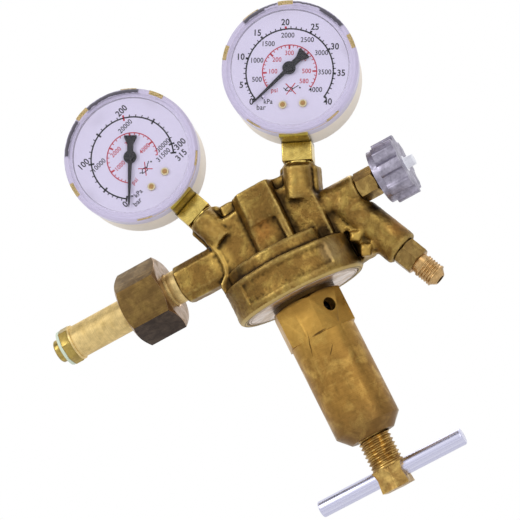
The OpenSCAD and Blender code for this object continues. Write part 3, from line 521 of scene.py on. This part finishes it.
groove_rings = mottled("groove_rings", 0.6, 0.5, (0.10, 0.06, 0.02), (0.24, 0.16, 0.06), 700.0, 3.0)
bm = bmesh.new()
for radius, width in ((30.0, 0.35), (28.6, 0.55), (26.9, 0.3)):
    arc(bm, (0, 0), radius, width, 0, 360)
quarter_turn = Matrix.Rotation(math.radians(90), 4, "X")
bm.transform(Matrix.Translation((axis_x, 0, ring_bottom - 0.08 * mm)) @ quarter_turn)
add_piece("mouth_grooves", finished_mesh(bm, "mouth_grooves", groove_rings), "body", "cast_brass")


# Adjusting screw with a coarse thread and a waisted, flattened head that the plated tee bar is driven
# through. The thread is cut, and has the same brass finish as the rest of the screw.
def thread_surface(bm, origin, axis, radius, depth, pitch, start, end):
    sectors, steps = 72, 8
    side = axis.orthogonal().normalized()
    other = axis.cross(side)
    rows = []
    count = max(2, round((end - start) / pitch * steps))
    for j in range(count + 1):
        rise = start + (end - start) * j / count
        fade = min(1.0, (rise - start) / pitch, (end - rise) / pitch)
        row = []
        for i in range(sectors):
            a = 2 * math.pi * i / sectors
            phase = (rise / pitch - i / sectors) % 1
            r = radius - depth * fade * min(1.0, abs(2 * phase - 1) * 1.3)
            row.append(bm.verts.new(origin + axis * rise + (side * math.cos(a) + other * math.sin(a)) * r))
        rows.append(row)
    for low, high in zip(rows, rows[1:]):
        for i in range(sectors):
            k = (i + 1) % sectors
            bm.faces.new((low[i], low[k], high[k], high[i]))


def cut_thread(bm, origin, axis, radius, depth, pitch, start, end):
    gone = []
    for face in bm.faces:
        rise = (face.calc_center_median() - origin).dot(axis)
        spans = [((v.co - origin) - axis * (v.co - origin).dot(axis)).length for v in face.verts]
        on_cylinder = all(abs(s - radius) < 0.03 * mm for s in spans)
        if start - 0.01 * mm < rise < end + 0.01 * mm and on_cylinder:
            gone.append(face)
    bmesh.ops.delete(bm, geom=gone, context="FACES_ONLY")
    thread_surface(bm, origin, axis, radius, depth, pitch, start, end)


screw_brass = brass("screw_brass", (0.60, 0.40, 0.125), (0.34, 0.20, 0.06), (0.08, 0.05, 0.02), along_z,
                    patch=5.0, specks=0.4, smooth=0.28, dull=0.45)
bm = cleaned("adjusting_screw")
cut_thread(bm, Vector((axis_x, 0, 0)), Vector(along_z), 8 * mm, 1.05 * mm, 2 * mm, -120.1 * mm, -77.5 * mm)
head_side = [(-120.2, 7.4), (-122, 6.7), (-124.5, 6.2), (-127.5, 6.6), (-130.8, 6.9)]
head = head_side + [(z, -x) for z, x in reversed(head_side)]
solid_between(bm, [(x, -6.3, z) for z, x in head], [(x, 6.3, z) for z, x in head])
add_piece("adjusting_thread", finished_mesh(bm, "adjusting_thread", screw_brass, angle=40), "screw",
          "bonnet_brass", "adjusting_screw")

plated_steel, tree = new_material("plated_steel", 1.0, 0.25)
drawn = placed(tree, lathe, Axis=(0, 0.35, 0.94), Pitch=0.9)
shade = stretched(tree, drawn["Shade"], 0.9, 1.08)
feed(tree, "Base Color", blended(tree, shade, (0.52, 0.52, 0.70, 1), (0.74, 0.74, 0.89, 1)))
bumped(tree, drawn["Height"], 0.3, 0.1 * mm)
eased_piece("tee_handle", "tee_bar", "screw", "steel", plated_steel, 0.25 * mm)

# Inlet stem, screwed into the boss, with its nipple, fibre washer and the loose hexagon nut that turns on
# it. Stem and nipple are bright bar; the nut has browned and is polished only on its turned end chamfers.
along_x = (1, 0, 0)
stem_brass = brass("stem_brass", (0.72, 0.54, 0.24), (0.62, 0.45, 0.18), (0.24, 0.15, 0.06), along_x,
                   patch=9.0, stains=0.30, specks=0.15, smooth=0.46, dull=0.52)
eased_piece("stem_tube", "inlet_stem", "body", "turned_brass", stem_brass, 0.2 * mm)
nipple_brass = brass("nipple_brass", (0.45, 0.33, 0.095), (0.32, 0.22, 0.06), (0.16, 0.10, 0.04), along_x,
                     patch=5.0, stains=0.35, specks=0.25, smooth=0.28)
eased_piece("stem_nipple", "inlet_nipple", "body", "turned_brass", nipple_brass, 0.25 * mm)
fibre = mottled("fibre", 0.0, 0.6, (0.52, 0.62, 0.50), (0.66, 0.72, 0.60), 900.0, 4.0, spread=(0.35, 0.65))
eased_piece("sealing_washer", "inlet_washer", "body", "washer_green", fibre, 0.3 * mm)

nut_brass = brass("nut_brass", (0.25, 0.158, 0.050), (0.16, 0.096, 0.034), (0.05, 0.03, 0.015), along_z,
                  pitch=0.8, relief=0.2, patch=7.0, stains=0.42, specks=0.45, smooth=0.30, dull=0.48)
nut_chamfer = brass("nut_chamfer", (0.46, 0.32, 0.22), (0.34, 0.22, 0.12), (0.12, 0.08, 0.04), along_x,
                    patch=5.0, stains=0.35, smooth=0.28)
# A near-black copy of the nut's brass for its downward faces, as painted shade
nut_underside_shade = brass("nut_underside_shade", (0.075, 0.052, 0.038), (0.05, 0.035, 0.028), (0.02, 0.015, 0.012),
                      along_z, patch=5.0, smooth=0.34, dull=0.5)
bm = cleaned("inlet_nut")
eased_edges(bm, 0.3 * mm)
# End faces take the chamfers' brass; downward faces take the painted shade
for face in bm.faces:
    if abs(face.normal.x) > 0.3:
        face.material_index = 1
    elif face.normal.z < -0.3:
        face.material_index = 2
nut_mesh = finished_mesh(bm, "union_nut", nut_brass, nut_chamfer, nut_underside_shade)
add_piece("union_nut", nut_mesh, "nut", "nut_brass", "inlet_nut")

# Needle valve: gland nut in the arm's end, and a die-cast handwheel held by a screw under a white snap-in
# cap. The handwheel's casting is dull and scuffed.
gland_brass = brass("gland_brass", (0.50, 0.34, 0.11), (0.30, 0.19, 0.06), (0.10, 0.06, 0.03), along_x,
                    patch=5.0, stains=0.42)
eased_piece("gland_hexagon", "gland_nut", "body", "bonnet_brass", gland_brass, 0.3 * mm)

cast_zinc, tree = new_material("cast_zinc", 1.0)
scuffs = tarnished(tree, (0.41, 0.385, 0.48), (0.29, 0.27, 0.34), (0.10, 0.095, 0.13),
                   patch=4.0, smooth=0.34, dull=0.5)
feed(tree, "Base Color", scuffs)
bumped(tree, placed(tree, skin, Grain_Size=0.7)["Height"], 0.25, 0.15 * mm)
eased_piece("handwheel", "knob", "handwheel", "knob_metal", cast_zinc, 0.4 * mm)
cap_plastic = mottled("cap_plastic", 0.0, 0.3, (0.74, 0.75, 0.84), (0.86, 0.87, 0.92), 300.0)
eased_piece("handwheel_cap", "knob_cap", "handwheel", "white_gloss", cap_plastic, 0.3 * mm)

# Flare fitting below the branch: hexagon, neck, fine thread and sealing cone, turned from one bar.
# The hexagon keeps the bar's skin, and everything below it is freshly cut.
branch_lean = math.radians(24)
branch_axis = Vector((math.sin(branch_lean), 0, -math.cos(branch_lean)))
branch_top = Vector((150.8 * mm, 0, -0.5 * mm))
fitting_foot = branch_top + branch_axis * 37.9 * mm
neck_start = 9.4 * mm
fitting_brass = brass("fitting_brass", (0.34, 0.225, 0.075), (0.22, 0.135, 0.045), (0.10, 0.06, 0.03),
                      tuple(branch_axis), patch=4.0, specks=0.35)
cut_brass = brass("cut_brass", (0.56, 0.36, 0.16), (0.42, 0.25, 0.09), (0.20, 0.11, 0.05), tuple(branch_axis),
                  patch=4.0, stains=0.3, specks=0.15, smooth=0.34, dull=0.45)
bm = cleaned("outlet_fitting")
cut_thread(bm, fitting_foot, branch_axis, 5.55 * mm, 0.6 * mm, 1.45 * mm, 11.8 * mm, 19.6 * mm)
for face in bm.faces:
    if (face.calc_center_median() - fitting_foot).dot(branch_axis) > neck_start:
        face.material_index = 1
add_piece("flare_fitting", finished_mesh(bm, "flare_fitting", fitting_brass, cut_brass, angle=40), "body",
          "turned_brass", "outlet_fitting")

# Gauges: brass socket, spun case with a pale lacquer, printed dial on two screws, black pointer and a clear
# snap-on lens held by five hooks. Both are alike but for their print, and turned a little to the outlet.
gauge_lean = math.radians(22.5)
dial_turn = math.radians(4)
boss_top = 69 * mm
case_radius = 31.75 * mm
print_y, screw_y, hook_y = -13.53 * mm, -14.27 * mm, -19.6 * mm
zero_angle = 218.7
pin_reach, pin_angle = 18.5, 225.6
bar_per_psi = 0.0689476
letter_width = 0.9
saddle_brass = brass("saddle_brass", (0.42, 0.33, 0.06), (0.28, 0.20, 0.045), (0.10, 0.06, 0.02), along_z,
                     patch=5.0)
hook_brass = mottled("hook_brass", 0.4, 0.35, (0.50, 0.42, 0.16), (0.80, 0.62, 0.38), 120.0, 3.0,
                     spread=(0.4, 0.6))
amber_brass = mottled("amber_brass", 0.3, 0.4, (0.40, 0.20, 0.06), (0.62, 0.36, 0.14), 500.0)
pale_brass = mottled("pale_brass", 0.3, 0.4, (0.74, 0.62, 0.36), (0.88, 0.78, 0.56), 500.0)
case_lacquer = mottled("case_lacquer", 0.45, 0.36, (0.74, 0.64, 0.53), (0.84, 0.75, 0.65), 90.0, 3.0)
dial_enamel = mottled("dial_enamel", 0.0, 0.55, (0.78, 0.72, 0.95), (0.84, 0.785, 1.0), 60.0)
pointer_black = mottled("pointer_black", 0.0, 0.5, (0.012, 0.011, 0.016), (0.03, 0.028, 0.038), 800.0)
print_red = mottled("print_red", 0.0, 0.5, (0.52, 0.03, 0.06), (0.62, 0.05, 0.09), 500.0)

dial_polar, put, get = node_group(
    "dial_polar", [("Centre", "vector", (0, 0, 0)), ("Right", "vector", along_x), ("Up", "vector", along_z)],
    [("Radius", "value"), ("Angle", "value")])
where = add(dial_polar, "TexCoord").outputs["Object"]
away = add(dial_polar, "VectorMath", {0: where, 1: put["Centre"]}, operation="SUBTRACT").outputs[0]
right, up = (add(dial_polar, "VectorMath", {0: away, 1: put[side]}, operation="DOT_PRODUCT").outputs["Value"]
             for side in ("Right", "Up"))
flat = add(dial_polar, "CombineXYZ", {0: right, 1: up}).outputs[0]
radius = add(dial_polar, "VectorMath", {0: flat}, operation="LENGTH").outputs["Value"]
dial_polar.links.new(scaled(dial_polar, radius, 1 / mm), get["Radius"])
dial_polar.links.new(calc(dial_polar, "DEGREES", calc(dial_polar, "ARCTAN2", up, right)), get["Angle"])


def between(tree, value, low, high, blur):
    rise = stretched(tree, value, low - blur, low)
    fall = stretched(tree, value, high, high + blur, 1.0, 0.0)
    return scaled(tree, rise, fall)


# Clear in the middle. The thick rim is milky, and painted dark between the upper hooks, as painted shade
# where the case opens behind it.
# A thin moulded line near 27.3 mm is dark, and painted darker towards the top as painted shade. The spans are
# degrees on the dial, and the radii are millimetres.
def lens_material(name, place, wide, thin):
    material, tree = new_material(name, 0.0, 0.03)
    glass = tree.nodes["Principled BSDF"]
    glass.inputs["Transmission Weight"].default_value = 1.0
    glass.inputs["IOR"].default_value = 1.2
    face = placed(tree, dial_polar, Centre=place.translation, Right=place.col[0].to_3d(),
                  Up=place.col[2].to_3d())
    radius, angle = face["Radius"], face["Angle"]
    streaks = add(tree, "TexNoise", {"W": angle, "Scale": 0.09, "Detail": 4.0, "Roughness": 0.7},
                  noise_dimensions="1D").outputs[0]
    wander = calc(tree, "ADD", radius, stretched(tree, streaks, 0.3, 0.7, -0.3, 0.3))
    cloud = scaled(tree, between(tree, wander, 27.9, 60.0, 0.6), 0.4)
    rim = scaled(tree, between(tree, radius, 29.6, 60.0, 0.4), 0.4)
    milk = add(tree, "BsdfPrincipled", {"Base Color": (0.55, 0.50, 0.69, 1), "Roughness": 0.3})
    mixed = add(tree, "MixShader", {0: summed(tree, cloud, rim), 1: glass.outputs[0], 2: milk.outputs[0]})
    shadow_gaps = []
    for spans, inner in ((wide, 29.6), (thin, 30.5)):
        sweep = summed(tree, *(between(tree, angle, start, end, 1.5) for start, end in spans))
        shadow_gaps.append(scaled(tree, between(tree, wander, inner, 31.35, 0.15), sweep))
    height = calc(tree, "SINE", scaled(tree, angle, math.radians(1)))
    upper = stretched(tree, height, -0.6, 0.7, 0.10, 0.6)
    line = scaled(tree, between(tree, radius, 27.25, 27.45, 0.12), upper)
    painted_shade = summed(tree, scaled(tree, summed(tree, *shadow_gaps), 0.92), line)
    dark = add(tree, "BsdfPrincipled", {"Base Color": (0.03, 0.025, 0.038, 1), "Roughness": 0.25})
    mixed = add(tree, "MixShader", {0: painted_shade, 1: mixed.outputs[0], 2: dark.outputs[0]})
    path = add(tree, "LightPath").outputs
    unseen = calc(tree, "MAXIMUM", path["Is Shadow Ray"], path["Is Diffuse Ray"])
    clear = add(tree, "BsdfTransparent", {"Color": (0.97, 0.97, 0.98, 1)})
    mixed = add(tree, "MixShader", {0: unseen, 1: mixed.outputs[0], 2: clear.outputs[0]})
    tree.links.new(mixed.outputs[0], tree.nodes["Material Output"].inputs["Surface"])
    return material


def polar(centre, radius, angle):
    a = math.radians(angle)
    return centre[0] + radius * math.cos(a), centre[1] + radius * math.sin(a)


def bar(bm, start, end, width):
    a, b = Vector((start[0] * mm, 0, start[1] * mm)), Vector((end[0] * mm, 0, end[1] * mm))
    across = (b - a).normalized().cross(Vector((0, 1, 0))) * width * mm / 2
    bm.faces.new([bm.verts.new(p) for p in (a - across, b - across, b + across, a + across)])


def tick(bm, centre, inner, outer, angle, width):
    bar(bm, polar(centre, inner, angle), polar(centre, outer, angle), width)


# Printed letters, a little condensed, and bolder where they are large
def stamp(bm, text, x, z, height):
    words = bpy.data.curves.new("letters", "FONT")
    words.body = str(text)
    words.size = height * mm / 0.72
    words.align_x = "CENTER"
    words.align_y = "CENTER"
    words.offset = (0.03 if height > 2.6 else 0.018) * height * mm
    words.space_character = 1.06
    thing = bpy.data.objects.new("letters", words)
    bpy.context.scene.collection.objects.link(thing)
    mesh = bpy.data.meshes.new_from_object(thing.evaluated_get(bpy.context.evaluated_depsgraph_get()))
    before = len(bm.verts)
    bm.from_mesh(mesh)
    bm.verts.ensure_lookup_table()
    for v in bm.verts[before:]:
        v.co = Vector((v.co.x * letter_width + x * mm, 0, v.co.y + z * mm))
    bpy.data.meshes.remove(mesh)
    bpy.data.objects.remove(thing)
    bpy.data.curves.remove(words)


# The crossed oil can means that the gauge is kept free of oil
def oil_can(black, red, x, z):
    can = [((-2.6, -0.7), (-1.2, 0.9)), ((-2.6, -0.7), (0.4, -1.2)), ((-1.2, 0.9), (0.9, 0.3)),
           ((0.4, -1.2), (0.9, 0.3)), ((0.6, -0.3), (3.6, 1.6)), ((-2.5, -0.2), (-3.4, 0.5))]
    drop = ((4.0, 0.8), (4.5, 0.2))
    cross = [((-2.4, 2.5), (2.4, -2.5)), ((2.0, 2.7), (-2.0, -2.7))]
    for ink, lines, width in ((black, can, 0.42), (black, [drop], 0.7), (red, cross, 0.45)):
        for (x0, z0), (x1, z1) in lines:
            bar(ink, (x + x0, z + z0), (x + x1, z + z1), width)


# Each number is given by its value, radius and angle. Both scales run clockwise from zero, and their first
# part, up to the kink, is closer than the rest. The black arc is in bar and kPa, and the red one in psi.
gauges = {
    "high": {
        "side": -1, "reach": 109.7, "turn": 10, "tilt": 0, "centre": (-0.4, 0.0), "cross_ticks": True,
        "top": 315, "kink": 50, "first": 33.0, "step": 42.4, "minor": 10, "major": 50, "red": 200,
        "arc": 19.6, "inner_arc": 12.0, "psi_step": 200, "psi_top": 4568,
        "bar": [(0, 22.3, 218), (100, 23.3, 142), (200, 23.2, 59), (300, 23.4, -30), (315, 23.3, -43)],
        "kpa": [(10000, 16.2, 147), (20000, 15.5, 58.5), (30000, 15.6, -24), (31500, 14.8, -41)],
        "psi": [(1000, 6.9, 169), (2000, 8.3, 115), (3000, 8.2, 53), (4000, 7.2, -9)],
        "wide": [(36.0, 84.0), (99.0, 131.0)], "thin": [(84.0, 86.0)], "lip": (37, 51)},
    "low": {
        "side": 1, "reach": 110.7, "turn": 8.5, "tilt": 7.5, "centre": (-0.7, -0.7), "cross_ticks": False,
        "top": 40, "kink": 5, "first": 23.2, "step": 33.15, "minor": 1, "major": 5, "red": 20,
        "arc": 20.3, "inner_arc": 12.6, "psi_step": 20, "psi_top": 580,
        "bar": [(0, 22.6, 219.5), (5, 23.2, 196), (10, 24.1, 163), (15, 24.1, 130), (20, 23.5, 96),
                (25, 23.9, 61.5), (30, 23.8, 29), (35, 24.0, -2.5), (40, 23.2, -39)],
        "kpa": [(500, 15.6, 194), (1000, 16.3, 161), (1500, 16.7, 128), (2000, 17.2, 94),
                (2500, 16.9, 62), (3000, 17.0, 30.5), (3500, 16.3, -2), (4000, 15.1, -36)],
        "psi": [(100, 7.8, 180), (200, 8.2, 137), (300, 8.7, 92), (400, 8.2, 46), (500, 7.9, 0),
                (580, 8.3, -35)],
        "wide": [(36.0, 59.0), (111.0, 131.0)], "thin": [(59.0, 84.0), (99.0, 111.0)], "lip": (115, 131)},
}


def mark(g, value):
    if value <= g["kink"]:
        return zero_angle - g["first"] * value / g["kink"]
    return zero_angle - g["first"] - g["step"] * (value - g["kink"]) / g["kink"]


def dial_print(g):
    black, red = bmesh.new(), bmesh.new()
    centre, rim, inner = g["centre"], g["arc"], g["inner_arc"]
    zero, full = mark(g, 0), mark(g, g["top"])
    arc(black, centre, rim, 0.7, zero, full)
    for value in range(0, g["top"] + 1, g["minor"]):
        major = value % g["major"] == 0 or value == g["top"]
        ink = red if value == g["red"] else black
        if major and g["cross_ticks"]:
            tick(ink, centre, rim - 1.4, rim + 1.4, mark(g, value), 0.85)
        elif major:
            tick(ink, centre, rim - 0.25, rim + 1.3, mark(g, value), 1.0)
        else:
            tick(ink, centre, rim, rim + 1.2, mark(g, value), 0.45)
    if g["top"] % g["minor"]:
        tick(black, centre, rim - 1.4, rim + 1.4, full, 0.85)
    arc(red, centre, inner, 0.5, zero, full)
    for psi in range(0, g["psi_top"] + 1, g["psi_step"]):
        reach, width = (2.0, 0.85) if psi % (5 * g["psi_step"]) == 0 else (1.1, 0.4)
        tick(red, centre, inner - reach, inner, mark(g, psi * bar_per_psi), width)
    tick(red, centre, inner - 0.9, inner, full, 0.5)
    for ink, numbers, height in ((black, g["bar"], 3.0), (black, g["kpa"], 2.4), (red, g["psi"], 2.2)):
        for value, radius, angle in numbers:
            stamp(ink, value, *polar(centre, radius, angle), height)
    stamp(red, "psi", *polar(centre, 11.3, 232.5), 2.2)
    stamp(black, "kPa", *polar(centre, 17.3, 236), 2.3)
    stamp(black, "bar", *polar(centre, 21.4, 233), 2.5)
    oil_can(black, red, *polar(centre, 8.3, -85))
    return black, red


def lens_hooks(g):
    hooks = bmesh.new()
    for k, width in enumerate((1.9, 1.9, 1.8, 0.7, 0.9)):
        arc(hooks, (0, 0), 31.65 - width / 2, width, 12.5 + 72 * k, 25.5 + 72 * k)
    arc(hooks, (0, 0), 31.45, 0.4, *g["lip"])
    arc(hooks, (0, 0), 31.62, 0.22, 228, 306)
    bmesh.ops.solidify(hooks, geom=hooks.faces[:], thickness=0.3 * mm)
    return hooks


def refinish(node, material):
    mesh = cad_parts[node].data
    mesh.materials.clear()
    mesh.materials.append(material)
    mesh.shade_smooth()
    mesh.set_sharp_from_angle(angle=math.radians(35))


for name, g in gauges.items():
    place = (Matrix.Translation((axis_x, 0, -40.5 * mm)) @ Matrix.Rotation(g["side"] * gauge_lean, 4, "Y")
             @ Matrix.Translation((0, 0, boss_top)) @ Matrix.Rotation(math.radians(-g["tilt"]), 4, "X")
             @ Matrix.Translation((0, 0, g["reach"] * mm - boss_top))
             @ Matrix.Rotation(math.radians(g["turn"]), 4, "Z"))
    dial_place = place @ Matrix.Translation((0, print_y, 0)) @ Matrix.Rotation(dial_turn, 4, "Y")
    socket_brass = brass(name + "_socket_brass", (0.70, 0.52, 0.145), (0.46, 0.32, 0.08), (0.16, 0.10, 0.03),
                         along_z, patch=6.0, stains=0.28, specks=0.25, smooth=0.24, dull=0.40)
    # Painted shadow: a thin band across the socket, just below the saddle, is painted near black
    upward = place.col[2].to_3d()
    neck = place.translation.dot(upward) - 33.1 * mm
    toned(socket_brass, upward, neck, neck + 0.4 * mm, (0.06, 0.035, 0.01), 0.9)
    eased_piece(name + "_gauge_socket", name + "_socket", "body", "turned_brass", socket_brass, 0.25 * mm)
    eased_piece(name + "_gauge_case", name + "_case", "body", "case_paint", case_lacquer, 0.2 * mm)

    saddle = bmesh.new()
    saddle_place = place @ Matrix.Translation((0, -12.5 * mm, -case_radius))
    bmesh.ops.create_cube(saddle, size=mm, matrix=saddle_place @ Matrix.Diagonal((13.4, 12, 1.6, 1)))
    eased_edges(saddle, 0.3 * mm)
    # The stop pin stands beside the resting pointer and just clears it
    x, z = polar((0, 0), pin_reach, pin_angle)
    pin_place = dial_place @ Matrix.Translation((x * mm, -0.72 * mm, z * mm)) @ quarter_turn
    pin = bmesh.new()
    bmesh.ops.create_cone(pin, cap_ends=True, segments=24, radius1=0.45 * mm, radius2=0.4 * mm,
                          depth=1.5 * mm, matrix=pin_place)
    black, red = dial_print(g)
    black.transform(dial_place)
    red.transform(dial_place)
    hooks = lens_hooks(g)
    hooks.transform(place @ Matrix.Translation((0, hook_y, 0)))
    slots, rims = bmesh.new(), bmesh.new()
    for x in (-4.7, 4.7):
        arc(slots, (x, -16.3), 0.5, 1.0, 0, 360)
        arc(rims, (x, -16.3), 1.5, 0.6, 0, 360)
    slots.transform(place @ Matrix.Translation((0, screw_y, 0)))
    rims.transform(place @ Matrix.Translation((0, screw_y, 0)))
    for part, label, material, slot in (
            (saddle, "gauge_saddle", saddle_brass, "turned_brass"),
            (black, "dial_scale", pointer_black, "black_paint"),
            (red, "dial_red_scale", print_red, "black_paint"),
            (pin, "stop_pin", pointer_black, "black_paint"),
            (hooks, "lens_hooks", hook_brass, "turned_brass"),
            (slots, "screw_slots", amber_brass, "turned_brass"),
            (rims, "screw_rims", pale_brass, "turned_brass")):
        add_piece(f"{name}_{label}", finished_mesh(part, f"{name}_{label}", material), "body", slot)
    refinish(name + "_dial", dial_enamel)
    refinish(name + "_pointer", pointer_black)
    refinish(name + "_lens", lens_material(name + "_lens_clear", place, g["wide"], g["thin"]))

# Inner pieces, out of sight in the closed regulator: valve, diaphragm stack, springs, filter, packing and
# the gauges' movements. Brass and steel are oiled and clean; the filter is sintered from bronze grains.
inner_brass = brass("inner_brass", (0.66, 0.48, 0.18), (0.50, 0.34, 0.11), (0.20, 0.12, 0.05), along_z,
                    patch=4.0)
spring_steel, tree = new_material("spring_steel", 1.0)
feed(tree, "Base Color", tarnished(tree, (0.22, 0.22, 0.24), (0.12, 0.12, 0.13), (0.05, 0.04, 0.04),
                                   patch=3.0, smooth=0.28, dull=0.45))
black_rubber = mottled("black_rubber", 0.0, 0.7, (0.02, 0.02, 0.022), (0.04, 0.04, 0.042), 700.0, 3.0,
                       grain=0.2)
white_polymer = mottled("white_polymer", 0.0, 0.45, (0.78, 0.78, 0.75), (0.88, 0.88, 0.86), 400.0, 3.0,
                        grain=0.2)
sintered_bronze = mottled("sintered_bronze", 0.0, 0.8, (0.24, 0.15, 0.07), (0.42, 0.28, 0.14), 2500.0, 3.0,
                          grain=0.2)
movements = [f"{gauge}_{part}" for gauge in gauges for part in ("tube", "movement", "sector", "dial_screws")]
for material, nodes in (
        (inner_brass, ["nut_slip_washer", "diaphragm_ring", "diaphragm_plate", "valve_nozzle", "valve_poppet",
                       "needle_stem", *movements]),
        (spring_steel, ["main_spring", "poppet_spring", "spring_button", "knob_screw"]),
        (black_rubber, ["diaphragm", "high_vent_plug", "low_vent_plug"]),
        (white_polymer, ["poppet_seat", "gland_packing", "needle_tip"]),
        (sintered_bronze, ["inlet_filter"])):
    for node in nodes:
        refinish(node, material)
